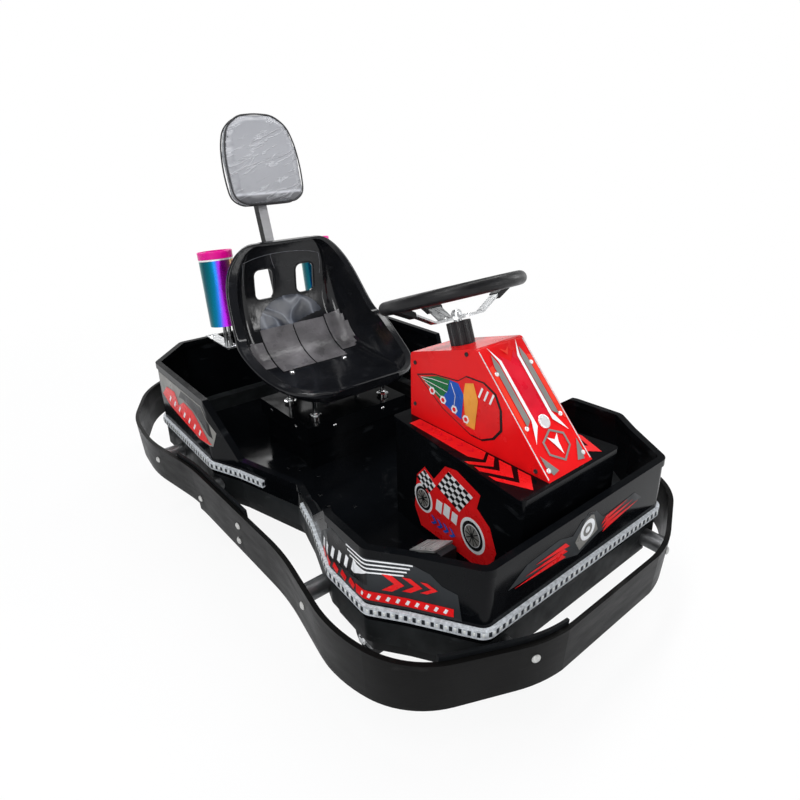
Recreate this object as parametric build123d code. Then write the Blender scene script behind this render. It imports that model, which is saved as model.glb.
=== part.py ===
"""Small battery bumper car with a bucket seat, a waisted tub and a belt bumper, in millimetres.
+Z is up, the front is at -Y, the car's own right side is at -X, the floor it stands on is Z = 0."""
import os
from math import cos, hypot, radians, sin

from build123d import *

os.makedirs("parts", exist_ok=True)


def save(node, shape):
    solids = shape.solids()
    export_step(solids[0] if len(solids) == 1 else Compound(children=list(solids)), "parts/" + node + ".step")
    print(node, len(solids), "solids", round(shape.volume), "mm3")


def joined(shapes):
    """Adds up a list of shapes, which may stand apart."""
    total = shapes[0]
    for shape in shapes[1:]:
        total += shape
    return total


def mirrored(points):
    """Closes a list of right-hand points, given rear to front, with its mirror image."""
    return points + [(-x, y) for x, y in reversed(points)]


def polygon(points):
    return make_face(Polyline(*points, close=True))


def rounded(face, corners):
    """Rounds corners of a face, each given as x, y and radius."""
    for x, y, radius in corners:
        face = fillet(face.vertices().sort_by_distance((x, y, 0))[0], radius)
    return face


def grown(face, amount):
    return offset(face, amount, kind=Kind.INTERSECTION) if amount else face


def ring(face, outside, inside, z_low, z_high):
    """A closed band between two offsets of a plan face, each counted outwards."""
    band = extrude(grown(face, outside), z_high - z_low) - extrude(grown(face, inside), z_high - z_low)
    return Pos(0, 0, z_low) * band


def across(points, half_width, x_middle=0):
    """A polygon in Y and Z, extruded across the car."""
    return Pos(x_middle - half_width, 0, 0) * extrude(Plane.YZ * polygon(points), 2 * half_width)


def block(x, y, z):
    """A box from its low and high limits along each axis."""
    middle = Pos((x[0] + x[1]) / 2, (y[0] + y[1]) / 2, (z[0] + z[1]) / 2)
    return middle * Box(x[1] - x[0], y[1] - y[0], z[1] - z[0])


def rod_x(radius, x_low, x_high, y, z):
    return Pos((x_low + x_high) / 2, y, z) * Rot(0, 90, 0) * Cylinder(radius, x_high - x_low)


def rod_y(radius, y_low, y_high, x, z):
    return Pos(x, (y_low + y_high) / 2, z) * Rot(90, 0, 0) * Cylinder(radius, y_high - y_low)


def rod_z(radius, z_low, z_high, x, y):
    return Pos(x, y, (z_low + z_high) / 2) * Cylinder(radius, z_high - z_low)


def turned(points):
    """A profile of radius and height, turned about Z."""
    return revolve(Plane.XZ * polygon(points), Axis.Z)


FAR = 2000
SIDES = [("right", -1), ("left", 1)]
RUN_CLEAR = 0.05

# Sizes of the wheels, which set the height of the frame above the floor
REAR_R = 70
REAR_Y = 300
REAR_X = 218
REAR_HALF_W = 24
TYRE_DEEP = 24
AXLE_R = 8
FLOOR_CLEAR = 10
CASTER_X = 268
SWIVEL_Y = -440
TRAIL = 30
CASTER_HALF_W = 12
CASTER_TYRE_DEEP = 12.5
PIN_R = 5

# Tub: a waisted plan outline, with a rim that is high at the rear, low at the waist and middling in front
TUB_RIGHT = [(-235, 490), (-340, 378), (-345, 70), (-314, -9), (-268, -176), (-294, -272),
             (-341, -402), (-346, -511), (-306, -567), (-242, -670)]
TUB_ROUNDING = 22
WALL = 5
FRAME_LOW_Z = 2 * REAR_R + FLOOR_CLEAR
FRAME_TALL = 45
FRAME_WIDE = 36
TUB_FOOT_Z = FRAME_LOW_Z + FRAME_TALL
REAR_WALL = 178
SILL_WALL = 55
FRONT_WALL = 136
RIM_WIDTH = 14
RIM_DEEP = 14
RIM_PROUD = 3
REAR_RIM_Z = TUB_FOOT_Z + REAR_WALL
SILL_Z = TUB_FOOT_Z + SILL_WALL
FRONT_RIM_Z = TUB_FOOT_Z + FRONT_WALL
REAR_Y_MAX = max(y for x, y in TUB_RIGHT)
FRONT_Y_MIN = min(y for x, y in TUB_RIGHT)
REAR_SLOPE_Y = (72, -9)
FRONT_SLOPE_Y = (-288, -390)
RIM_LINE = [(FAR, REAR_RIM_Z), (REAR_SLOPE_Y[0], REAR_RIM_Z), (REAR_SLOPE_Y[1], SILL_Z), (FRONT_SLOPE_Y[0], SILL_Z),
            (FRONT_SLOPE_Y[1], FRONT_RIM_Z), (-FAR, FRONT_RIM_Z)]
SEAM_REAR_Y = 0
SEAM_FRONT_Y = -286

tub = fillet(polygon(mirrored(TUB_RIGHT)).vertices(), TUB_ROUNDING)


def tub_panels():
    below_rim = across(RIM_LINE + [(-FAR, 0), (FAR, 0)], FAR)
    rim_band = across(RIM_LINE + [(y, z - RIM_DEEP) for y, z in reversed(RIM_LINE)], FAR)
    wall = ring(tub, 0, -WALL, TUB_FOOT_Z, REAR_RIM_Z) & below_rim
    bead = ring(tub, RIM_PROUD, RIM_PROUD - RIM_WIDTH, TUB_FOOT_Z, REAR_RIM_Z) & rim_band
    walls = wall + bead
    save("tub_rear", walls & block((-FAR, FAR), (SEAM_REAR_Y, FAR), (0, FAR)))
    save("tub_front", walls & block((-FAR, FAR), (-FAR, SEAM_FRONT_Y), (0, FAR)))
    save("tub_sills", walls & block((-FAR, FAR), (SEAM_FRONT_Y, SEAM_REAR_Y), (0, FAR)))


# Chassis: a perimeter tube under the walls, a lower rail, two long rails and the cross beams
RAIL_TALL = 28
RAIL_LOW_Z = FRAME_LOW_Z - RAIL_TALL
RAIL_OUT = -12
RAIL_IN = -42
RAIL_HALF = 15
LONG_RAIL_X = 165
FLOOR_THICK = 6
FLOOR_TOP_Z = FRAME_LOW_Z + FLOOR_THICK
BEAMS = [("rear", 430), ("behind the axle", 395), ("middle", -30), ("casters", SWIVEL_Y)]


def chassis():
    save("perimeter_tube", ring(tub, 0, -FRAME_WIDE, FRAME_LOW_Z, TUB_FOOT_Z))
    save("floor_pan", Pos(0, 0, FRAME_LOW_Z) * extrude(grown(tub, -FRAME_WIDE), FLOOR_THICK))
    inside = Pos(0, 0, RAIL_LOW_Z) * extrude(grown(tub, RAIL_IN), RAIL_TALL)
    rails = ring(tub, RAIL_OUT, RAIL_IN, RAIL_LOW_Z, FRAME_LOW_Z)
    for name, y in BEAMS:
        rails += block((-FAR, FAR), (y - RAIL_HALF, y + RAIL_HALF), (RAIL_LOW_Z, FRAME_LOW_Z)) & inside
    for side, sign in SIDES:
        x = sign * LONG_RAIL_X
        rails += block((x - RAIL_HALF, x + RAIL_HALF), (-FAR, FAR), (RAIL_LOW_Z, FRAME_LOW_Z)) & inside
    save("lower_frame", rails)


# Light strips on the outside of the walls
STRIP_ABOVE = 13
STRIP_TALL = 17
STRIP_THICK = 6
STRIP_REAR_END_Y = -80
STRIP_FRONT_END_Y = -205


def light_strips():
    low = TUB_FOOT_Z + STRIP_ABOVE
    strip = ring(tub, STRIP_THICK, 0, low, low + STRIP_TALL)
    rear = strip & block((-FAR, FAR), (STRIP_REAR_END_Y, FAR), (0, FAR))
    front = strip & block((-FAR, FAR), (-FAR, STRIP_FRONT_END_Y), (0, FAR))
    save("light_strips", joined([rear, front]))


# Belt bumper: two bent strips that lean out, butted at the sides on splice plates
# x, y and rounding radius of each corner of the belt's right half at its top edge, front to rear
BELT_RIGHT = [(-165, -739, 250), (-374, -639, 170), (-412, -500, 300), (-377, -290, 600), (-382, 110, 600),
              (-413, 300, 400), (-399, 458, 300), (-300, 655, 250), (-134, 738, 250)]
BELT_FRONT_Y = -738
BELT_THICK = 9
BELT_TOP_Z = TUB_FOOT_Z + 9
BELT_FRONT_TALL = 108
BELT_REAR_TALL = 92
BELT_LEAN = 8
BELT_SEAM_Y = 103
BELT_RISE_Y = -470
BELT_RISE = 21
SPLICE_THICK = 5
SPLICE_TALL = 96
SPLICE_ABOVE = 9
SPLICE_SIDE_Y = (-138, 183)
SPLICE_FRONT_X = (-322, -122)
SPLICE_FRONT_Y = -400

belt_plan = rounded(polygon(mirrored([(x, y) for x, y, radius in BELT_RIGHT])),
                    [(sign * x, y, radius) for x, y, radius in BELT_RIGHT for side, sign in SIDES])


def belt_filled(outside, z_low, z_high):
    """All that lies within the belt's leaning face, or within an offset of it counted outwards."""
    lean = BELT_LEAN / BELT_FRONT_TALL
    levels = [Pos(0, 0, z) * grown(belt_plan, outside + (z - BELT_TOP_Z) * lean) for z in (z_low, z_high)]
    return loft(levels, ruled=True)


def belt_band(outside, thick, z_low, z_high):
    return belt_filled(outside, z_low, z_high) - belt_filled(outside - thick, z_low, z_high)


def splice_plates():
    top = BELT_TOP_Z + SPLICE_ABOVE
    plate = belt_band(-BELT_THICK, SPLICE_THICK, top - SPLICE_TALL, top)
    at_sides = plate & block((-FAR, FAR), SPLICE_SIDE_Y, (0, FAR))
    at_front = plate & block(SPLICE_FRONT_X, (-FAR, SPLICE_FRONT_Y), (0, FAR))
    return joined([at_sides, at_front])


def belt():
    low = BELT_TOP_Z - BELT_FRONT_TALL
    front = belt_band(0, BELT_THICK, low, BELT_TOP_Z)
    rise = BELT_RISE / (BELT_RISE_Y - BELT_FRONT_Y)
    front -= across([(BELT_RISE_Y, low), (-FAR, low + rise * (FAR + BELT_RISE_Y)), (-FAR, 0), (BELT_RISE_Y, 0)], FAR)
    front -= across([(-FAR, 0), (BELT_FRONT_Y + BELT_LEAN * BELT_TOP_Z / BELT_FRONT_TALL, 0), (BELT_FRONT_Y, BELT_TOP_Z),
                     (-FAR, BELT_TOP_Z)], FAR)
    rear = belt_band(0, BELT_THICK, BELT_TOP_Z - BELT_REAR_TALL, BELT_TOP_Z)
    save("belt_front", front & block((-FAR, FAR), (-FAR, BELT_SEAM_Y), (0, FAR)))
    save("belt_rear", rear & block((-FAR, FAR), (BELT_SEAM_Y, FAR), (0, FAR)))
    save("splice_plates", splice_plates())


# Stubs that carry the belt off the perimeter tube
STUB_R = 17
STUB_Z = FRAME_LOW_Z + 20
SIDE_STUB_Y = [-374, 60, 269]
FRONT_STUB_X = 205
REAR_STUB_X = 150


def belt_brackets():
    reach = belt_filled(-BELT_THICK, STUB_Z - 2 * STUB_R, STUB_Z + 2 * STUB_R)
    stubs = []
    for side, sign in SIDES:
        for y in SIDE_STUB_Y:
            stubs.append(rod_x(STUB_R, min(0, sign * FAR), max(0, sign * FAR), y, STUB_Z))
        stubs.append(rod_y(STUB_R, -FAR, FRONT_Y_MIN / 2, sign * FRONT_STUB_X, STUB_Z))
        stubs.append(rod_y(STUB_R, REAR_Y_MAX / 2, FAR, sign * REAR_STUB_X, STUB_Z))
    save("belt_brackets", (joined(stubs) & reach) - extrude(tub, FAR) - splice_plates())


# Seat box with its lid, and what is closed inside it
SEAT_BOX_X = 136
SEAT_BOX_Y = (-7, 205)
SEAT_BOX_TALL = 115
BOX_WALL = 4
LID_OVER = 10
LID_TALL = 43
LID_SHEET = 3
LID_TOP_Z = FLOOR_TOP_Z + SEAT_BOX_TALL
BATTERY_GAP = 11
BATTERY_TALL = 69


def seat_box():
    x, (y_low, y_high) = SEAT_BOX_X, SEAT_BOX_Y
    under_lid = LID_TOP_Z - LID_SHEET
    box = block((-x, x), (y_low, y_high), (FLOOR_TOP_Z, under_lid))
    box -= block((-x + BOX_WALL, x - BOX_WALL), (y_low + BOX_WALL, y_high - BOX_WALL), (FLOOR_TOP_Z, under_lid))
    save("seat_box", box)
    over = LID_OVER
    lid = block((-x - over, x + over), (y_low - over, y_high + over), (LID_TOP_Z - LID_TALL, LID_TOP_Z))
    over -= LID_SHEET
    lid -= block((-x - over, x + over), (y_low - over, y_high + over), (LID_TOP_Z - LID_TALL, under_lid))
    save("seat_box_lid", lid)
    gap = BATTERY_GAP
    save("battery_block", block((-x + gap, x - gap), (y_low + gap, y_high - gap),
                                (FLOOR_TOP_Z, FLOOR_TOP_Z + BATTERY_TALL)))


# Deck box under the console, wider in front, with a lip round its top
DECK_REAR = (88, -268)
DECK_FRONT = (130, -633)
DECK_TALL = 223
DECK_SHEET = 4
DECK_LIP = 3
DECK_LIP_TALL = 10
DECK_ROUNDING = 6
DECK_TOP_Z = FLOOR_TOP_Z + DECK_TALL


def deck_box():
    (rear_x, rear_y), (front_x, front_y) = DECK_REAR, DECK_FRONT
    plan = fillet(polygon([(-rear_x, rear_y), (-front_x, front_y), (front_x, front_y), (rear_x, rear_y)]).vertices(),
                  DECK_ROUNDING)
    box = Pos(0, 0, FLOOR_TOP_Z) * extrude(plan, DECK_TALL)
    box += Pos(0, 0, DECK_TOP_Z - DECK_LIP_TALL) * extrude(grown(plan, DECK_LIP), DECK_LIP_TALL)
    box -= Pos(0, 0, FLOOR_TOP_Z) * extrude(grown(plan, -DECK_SHEET), DECK_TALL - DECK_SHEET)
    save("deck_box", box)


# Steering: the wheel turns about a column tilted back towards the driver, and is parked a little turned
TILT = 19.8
PARKED_TURN = -15
WHEEL_Y = -336
WHEEL_ABOVE_DECK = 248
WHEEL_MAJOR_R = 127
WHEEL_TUBE_R = 13
HUB_DROP = 48
HUB_R = 31
HUB_THICK = 4
NUT_R = 10
SPOKE_HALF = 15
SPOKE_THICK = 4
SPOKE_BEND_R = 50
SPOKE_END_DROP = 8
GRIP_LONG = 39
GRIP_DEEP = 5
GRIP_PROUD = 3
SHAFT_R = 8
SHAFT_LONG = 128
BUSH_R = 22
BUSH_LONG = 44
SPOKES = [("right", 180), ("left", 0), ("rear", 90)]
WHEEL_Z = DECK_TOP_Z + WHEEL_ABOVE_DECK

steer = Pos(0, WHEEL_Y, WHEEL_Z) * Rot(-TILT, 0, 0) * Rot(0, 0, PARKED_TURN)
BUSH_TOP = -HUB_DROP - 5


def spoke_line(radius, height):
    """Height of a spoke's underside at a radius: level at the hub, then rising to the ring."""
    rise = (HUB_DROP - SPOKE_END_DROP) / (WHEEL_MAJOR_R - WHEEL_TUBE_R - SPOKE_BEND_R)
    return -HUB_DROP + height + max(radius - SPOKE_BEND_R, 0) * rise


def steering_wheel():
    torus = Rot(0, 0, 45) * Torus(WHEEL_MAJOR_R, WHEEL_TUBE_R)
    end = WHEEL_MAJOR_R
    start = end - GRIP_LONG
    radii = [HUB_R - 8, SPOKE_BEND_R, start + GRIP_DEEP]
    sheet = [(r, spoke_line(r, 0)) for r in radii] + [(r, spoke_line(r, SPOKE_THICK)) for r in reversed(radii)]
    wedge = [(start, spoke_line(start, -GRIP_DEEP)), (end - 2, 4 - WHEEL_TUBE_R), (end - 2, 3), (end - 8, 3),
             (start, spoke_line(start, SPOKE_THICK + 2))]
    grip_half = SPOKE_HALF + GRIP_PROUD
    arm = Pos(0, SPOKE_HALF, 0) * extrude(Plane.XZ * polygon(sheet), 2 * SPOKE_HALF)
    grip = Pos(0, grip_half, 0) * extrude(Plane.XZ * polygon(wedge), 2 * grip_half)
    arm -= grip
    grip -= torus
    hub = Pos(0, 0, -HUB_DROP + HUB_THICK / 2) * Cylinder(HUB_R, HUB_THICK)
    hub += turned([(0, -HUB_DROP), (NUT_R + 6, -HUB_DROP), (NUT_R + 6, -HUB_DROP + HUB_THICK + 2),
                   (NUT_R, -HUB_DROP + HUB_THICK + 2), (NUT_R, -HUB_DROP + HUB_THICK + 8),
                   (NUT_R - 4, -HUB_DROP + HUB_THICK + 13), (0, -HUB_DROP + HUB_THICK + 14)])
    hub += joined([Rot(0, 0, angle) * arm for name, angle in SPOKES])
    save("steering_ring", steer * torus)
    save("steering_grips", steer * joined([Rot(0, 0, angle) * grip for name, angle in SPOKES]))
    save("steering_spokes", steer * hub)
    shaft = Pos(0, 0, -HUB_DROP - SHAFT_LONG / 2) * Cylinder(SHAFT_R, SHAFT_LONG)
    save("steering_shaft", steer * shaft)


# Console on the deck: two side plates with a back, a top and a sloped front panel between them
CONSOLE_REAR_Y = -285
CONSOLE_BACK_TALL = 133
CONSOLE_PEAK_Y = -458
CONSOLE_PEAK_TALL = 184
CONSOLE_FRONT_Y = -628
CONSOLE_HALF = 59
CONSOLE_PLATE = 4
CONSOLE_ROUNDING = 9
CONSOLE_CORE = (-400, DECK_TOP_Z + 50)


def console():
    foot_rear = (CONSOLE_REAR_Y, DECK_TOP_Z)
    back_top = (CONSOLE_REAR_Y, DECK_TOP_Z + CONSOLE_BACK_TALL)
    peak = (CONSOLE_PEAK_Y, DECK_TOP_Z + CONSOLE_PEAK_TALL)
    foot_front = (CONSOLE_FRONT_Y, DECK_TOP_Z)
    profile = rounded(polygon([foot_rear, back_top, peak, foot_front]),
                      [back_top + (CONSOLE_ROUNDING,), peak + (CONSOLE_ROUNDING,)])
    side = Pos(-CONSOLE_HALF, 0, 0) * extrude(Plane.YZ * profile, CONSOLE_PLATE)
    save("console_sides", joined([side, mirror(side, Plane.YZ)]))
    half = CONSOLE_HALF - CONSOLE_PLATE
    shell = Pos(-half, 0, 0) * extrude(Plane.YZ * profile, 2 * half)
    shell -= Pos(-half, 0, 0) * extrude(Plane.YZ * grown(profile, -CONSOLE_PLATE), 2 * half)
    slope = (CONSOLE_PEAK_Y - CONSOLE_FRONT_Y) / CONSOLE_PEAK_TALL
    front_foot = CONSOLE_FRONT_Y + CONSOLE_PLATE * hypot(1, slope)
    rear_foot = CONSOLE_REAR_Y - CONSOLE_PLATE
    inner_z = DECK_TOP_Z + CONSOLE_PLATE
    shell -= across([(front_foot, DECK_TOP_Z), (rear_foot, DECK_TOP_Z), (rear_foot, inner_z),
                     (front_foot + slope * CONSOLE_PLATE, inner_z)], half)
    core_y, core_z = CONSOLE_CORE

    def beyond(point):
        return core_y + 3 * (point[0] - core_y), core_z + 3 * (point[1] - core_z)

    wedges = [("console_back", [beyond(back_top), (FAR, 0), (core_y, 0)]),
              ("console_top", [beyond(back_top), beyond(peak)]),
              ("console_front", [beyond(peak), (-FAR, 0), (core_y, 0)])]
    hole = steer * Pos(0, 0, -WHEEL_ABOVE_DECK / 2) * Cylinder(BUSH_R, WHEEL_ABOVE_DECK)
    for node, far_points in wedges:
        piece = shell & across([CONSOLE_CORE] + far_points, half)
        save(node, piece - hole if node == "console_top" else piece)


def column_bush():
    """A bush under the hub that goes down through the console's top on to a plate inside it."""
    low = BUSH_TOP - BUSH_LONG - 20
    bush = turned([(SHAFT_R + RUN_CLEAR, BUSH_TOP), (BUSH_R, BUSH_TOP), (BUSH_R, low), (SHAFT_R + RUN_CLEAR, low)])
    save("column_bush", steer * bush)


# Bucket seat: a moulded shell of lofted sections with a rolled rim and two slots, on four studs
SEAT_ABOVE_LID = 60
SEAT_SKIN = 5
SEAT_RIM_WIDE = 18
SEAT_RIM_TALL = 14
SEAT_RIM_ROUNDING = 6
SEAT_LOW_Z = LID_TOP_Z + SEAT_ABOVE_LID
SLOT_X = 61
SLOT_Z = SEAT_LOW_Z + 209
SLOT_WIDE = 52
SLOT_TALL = 78
SLOT_ROUNDING = 15
STUD_R = 6
STUD_X = 101
STUD_Y = (21, 140)
# y and height of the shell's outside, lean of the section, half width low and at the rim, depth to the rim, corner
SEAT_ROWS = [(-76, 17, 0, 50, 62, 21, 7), (-58, 9, 0, 94, 110, 29, 12), (-20, 2, 0, 131, 152, 38, 20),
             (50, 0, 0, 150, 184, 56, 32), (125, 2, 0, 152, 198, 90, 42), (240, 35, 45, 150, 196, 111, 46),
             (303, 139, 90, 142, 186, 112, 42), (308, 209, 90, 136, 173, 72, 30), (303, 272, 90, 121, 146, 38, 18),
             (297, 307, 90, 98, 112, 24, 9), (293, 320, 90, 70, 77, 20, 6)]


def seat_section(row, hollow):
    """A tray outline across the seat: its outside with the rim, or the hollow that is taken out of it."""
    y, height, lean, low, high, deep, corner = row
    plane = Plane(origin=(0, y, SEAT_LOW_Z + height), x_dir=(1, 0, 0), z_dir=(0, cos(radians(lean)), sin(radians(lean))))
    if hollow:
        half = [(low - SEAT_SKIN, SEAT_SKIN), (high - SEAT_SKIN, deep - 1), (high - SEAT_SKIN, deep + 16)]
        corners = [(low - SEAT_SKIN, SEAT_SKIN, max(corner - 3, 3))]
    else:
        out, under = high + SEAT_RIM_WIDE, deep - SEAT_RIM_TALL
        half = [(low, 0), (high, under), (out, under), (out, deep)]
        corners = [(low, 0, corner), (out, under, SEAT_RIM_ROUNDING), (out, deep, SEAT_RIM_ROUNDING)]
    face = polygon([(x, -h) for x, h in half] + [(-x, -h) for x, h in reversed(half)])
    return plane * rounded(face, [(sign * x, -h, radius) for x, h, radius in corners for side, sign in SIDES])


def seat():
    outside = loft([seat_section(row, False) for row in SEAT_ROWS])
    first, last = SEAT_ROWS[0], SEAT_ROWS[-1]
    hollow_rows = [(first[0] + 8,) + first[1:]] + SEAT_ROWS[1:-1] + [(last[0], last[1] - 7) + last[2:]]
    shell = outside - loft([seat_section(row, True) for row in hollow_rows])
    for side, sign in SIDES:
        slot = extrude(Plane.XZ * RectangleRounded(SLOT_WIDE, SLOT_TALL, SLOT_ROUNDING), 2 * SLOT_TALL, both=True)
        shell -= Pos(sign * SLOT_X, SEAT_ROWS[-1][0], SLOT_Z) * slot
    save("seat_shell", shell)
    studs = []
    for side, sign in SIDES:
        for y in STUD_Y:
            studs.append(rod_z(STUD_R, LID_TOP_Z, SEAT_LOW_Z + 2 * SEAT_SKIN, sign * STUD_X, y) - outside)
            studs.append(rod_z(2 * STUD_R, LID_TOP_Z, LID_TOP_Z + STUD_R, sign * STUD_X, y))
    save("seat_studs", joined(studs))


# Headrest on a square tube, which stands on a foot plate and holds the cushion by a channel behind it
POST_SIDE = 25
POST_TILT = 16
POST_REAR_Y = 377
POST_UP_TO_THERE = 480
POST_TALL = 654
POST_TOP_Z = FLOOR_TOP_Z + POST_TALL
POST_FOOT = (80, 60, 5)
HEAD_TILT = 14
HEAD_FRONT_Y = 357
HEAD_ABOVE_POST = 35
HEAD_MIDDLE_Z = POST_TOP_Z + HEAD_ABOVE_POST
HEAD_THICK = 31
# x and height of the cushion's right half, from the bottom up, with rounding radii
HEAD_RIGHT = [(-70, -110, 30), (-101, -92, 30), (-103, 15, 90), (-88, 80, 60), (-48, 113, 60)]
CHANNEL_SHEET = 3
CHANNEL_BOTTOM = 24
CHANNEL_PLATE = (-72, 10)


def post_y(z):
    above = z - FLOOR_TOP_Z - POST_UP_TO_THERE
    return POST_REAR_Y + above * sin(radians(POST_TILT)) / cos(radians(POST_TILT))


def headrest():
    long = POST_TOP_Z - FLOOR_TOP_Z
    middle_z = (POST_TOP_Z + FLOOR_TOP_Z) / 2
    tube = Pos(0, post_y(middle_z), middle_z) * Rot(-POST_TILT, 0, 0) * Box(POST_SIDE, POST_SIDE, 2 * long)
    tube &= block((-FAR, FAR), (-FAR, FAR), (FLOOR_TOP_Z, POST_TOP_Z))
    wide, deep, thick = POST_FOOT
    foot_y = post_y(FLOOR_TOP_Z)
    foot = block((-wide / 2, wide / 2), (foot_y - deep / 2, foot_y + deep / 2), (FLOOR_TOP_Z, FLOOR_TOP_Z + thick))
    save("headrest_post", tube + foot)
    head = Pos(0, HEAD_FRONT_Y, HEAD_MIDDLE_Z) * Rot(-HEAD_TILT, 0, 0)
    outline = polygon(mirrored([(x, v) for x, v, radius in HEAD_RIGHT]))
    outline = rounded(outline, [(sign * x, v, radius) for x, v, radius in HEAD_RIGHT for side, sign in SIDES])
    cushion = head * Pos(0, HEAD_THICK, 0) * extrude(Plane.XZ * outline, HEAD_THICK)
    save("headrest_cushion", cushion)
    low, high = CHANNEL_PLATE
    half = POST_SIDE / 2 + CHANNEL_SHEET
    plate = head * block((-half, half), (HEAD_THICK, HEAD_THICK + CHANNEL_SHEET), (low, high))
    tilt = radians(HEAD_TILT)
    back = [(HEAD_FRONT_Y + HEAD_THICK * cos(tilt) + v * sin(tilt), HEAD_MIDDLE_Z - HEAD_THICK * sin(tilt) + v * cos(tilt))
            for v in (low, high)]
    half_depth = POST_SIDE / 2 / cos(radians(POST_TILT))
    bottom = back[0][1] - CHANNEL_BOTTOM
    cheek = [back[0], back[1], (post_y(back[1][1]) + half_depth, back[1][1]), (post_y(bottom) + half_depth, bottom),
             (post_y(bottom) - half_depth, bottom)]
    cheeks = [across(cheek, CHANNEL_SHEET / 2, sign * (half - CHANNEL_SHEET / 2)) for side, sign in SIDES]
    save("headrest_channel", joined([plate] + cheeks) - tube)


# Tailpipes, closed below, on studs from flat bars that lie on the rear rim
PIPE_X = 148
PIPE_Y = 388
PIPE_R = 43
PIPE_WALL = 3
PIPE_LONG = 190
PIPE_TILT = 8
PIPE_TOP_ABOVE_RIM = 252
PIPE_FLOOR = 6
PIPE_BAR = (15, 344, 488, 4)
PIPE_STUD_R = 5
PIPE_STUD_Y = (354, 384)


def tailpipes():
    half, y_low, y_high, thick = PIPE_BAR
    bars = []
    for side, sign in SIDES:
        x = sign * PIPE_X
        axis = Pos(x, PIPE_Y, REAR_RIM_Z + PIPE_TOP_ABOVE_RIM) * Rot(-PIPE_TILT, 0, 0)
        inner = PIPE_R - PIPE_WALL
        cup = [(0, -PIPE_LONG), (PIPE_R, -PIPE_LONG), (PIPE_R, 0), (inner, 0), (inner, PIPE_FLOOR - PIPE_LONG),
               (0, PIPE_FLOOR - PIPE_LONG)]
        save("tailpipe_" + side, axis * turned(cup))
        bar = block((x - half, x + half), (y_low, y_high), (REAR_RIM_Z, REAR_RIM_Z + thick))
        for y in PIPE_STUD_Y:
            bar += rod_z(PIPE_STUD_R, REAR_RIM_Z + thick, REAR_RIM_Z + PIPE_TOP_ABOVE_RIM / 2, x, y)
        bars.append(bar - axis * Pos(0, 0, -PIPE_LONG / 2) * Cylinder(PIPE_R, PIPE_LONG))
    save("tailpipe_brackets", joined(bars))


# Rear drive wheels on a fixed axle between two hangers
RIM_HALF_W = 20
RIM_DISH = 9
RIM_HUB_R = 20
HANGER_HALF_Y = 20
HANGER_THICK = 12
AXLE_END = 8
MOTOR_HALF_Y = 50
REAR_SHOULDER = 9


def tyre(radius, deep, half_width, shoulder):
    inner = radius - deep
    profile = polygon([(inner, -half_width), (radius, -half_width), (radius, half_width), (inner, half_width)])
    profile = rounded(profile, [(radius, -half_width, shoulder), (radius, half_width, shoulder)])
    return Rot(0, 90, 0) * revolve(Plane.XZ * profile, Axis.Z)


def rim(radius, bore, half_width, dish, hub_r):
    """A wheel centre that is dished on both faces between its hub and its flange."""
    flange = radius - dish / 2
    half = [(bore, half_width + 1), (hub_r, half_width + 1), (hub_r + 2, half_width - dish), (flange - 2, half_width - dish),
            (flange, half_width), (radius, half_width)]
    profile = polygon(half + [(r, -w) for r, w in reversed(half)])
    return Rot(0, 90, 0) * revolve(Plane.XZ * profile, Axis.Z)


def rear_wheels():
    axle_half = REAR_X + RIM_HALF_W + 1 + AXLE_END
    axle = rod_x(AXLE_R, -axle_half, axle_half, REAR_Y, REAR_R)
    axle = fillet(axle.edges().filter_by(GeomType.CIRCLE), 2)
    hangers = []
    for side, sign in SIDES:
        place = Pos(sign * REAR_X, REAR_Y, REAR_R)
        save("rear_tyre_" + side, place * tyre(REAR_R, TYRE_DEEP, REAR_HALF_W, REAR_SHOULDER))
        save("rear_rim_" + side, place * rim(REAR_R - TYRE_DEEP, AXLE_R + RUN_CLEAR, RIM_HALF_W, RIM_DISH, RIM_HUB_R))
        x = sign * (LONG_RAIL_X + RAIL_HALF - HANGER_THICK / 2)
        foot, eye = HANGER_HALF_Y, AXLE_R + 8
        shape = [(REAR_Y - foot, RAIL_LOW_Z), (REAR_Y + foot, RAIL_LOW_Z), (REAR_Y + eye, REAR_R), (REAR_Y, REAR_R - eye),
                 (REAR_Y - eye, REAR_R)]
        hangers.append(across(shape, HANGER_THICK / 2, x))
    save("rear_axle", axle)
    save("axle_hangers", joined(hangers) - rod_x(AXLE_R, -FAR, FAR, REAR_Y, REAR_R))
    x = LONG_RAIL_X - RAIL_HALF
    motor = block((-x, x), (REAR_Y - MOTOR_HALF_Y, REAR_Y + MOTOR_HALF_Y), (REAR_R + AXLE_R + 6, FRAME_LOW_Z))
    save("motor_block", motor)


# Front swivel casters, whose wheels fill what the fork and its plates leave below the rail
CASTER_STACK = 47
CASTER_R = (RAIL_LOW_Z - CASTER_STACK) / 2
CASTER_SHOULDER = 4
FORK_GAP = 5
FORK_SHEET = 3
FORK_PLATE = 4
FORK_ABOVE = 9
FORK_HALF_Y = 16
STEM_R = 8
STEM_BOSS_R = 16
CASTER_PLATE = (32, 6)
STEM_END = 4


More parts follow.
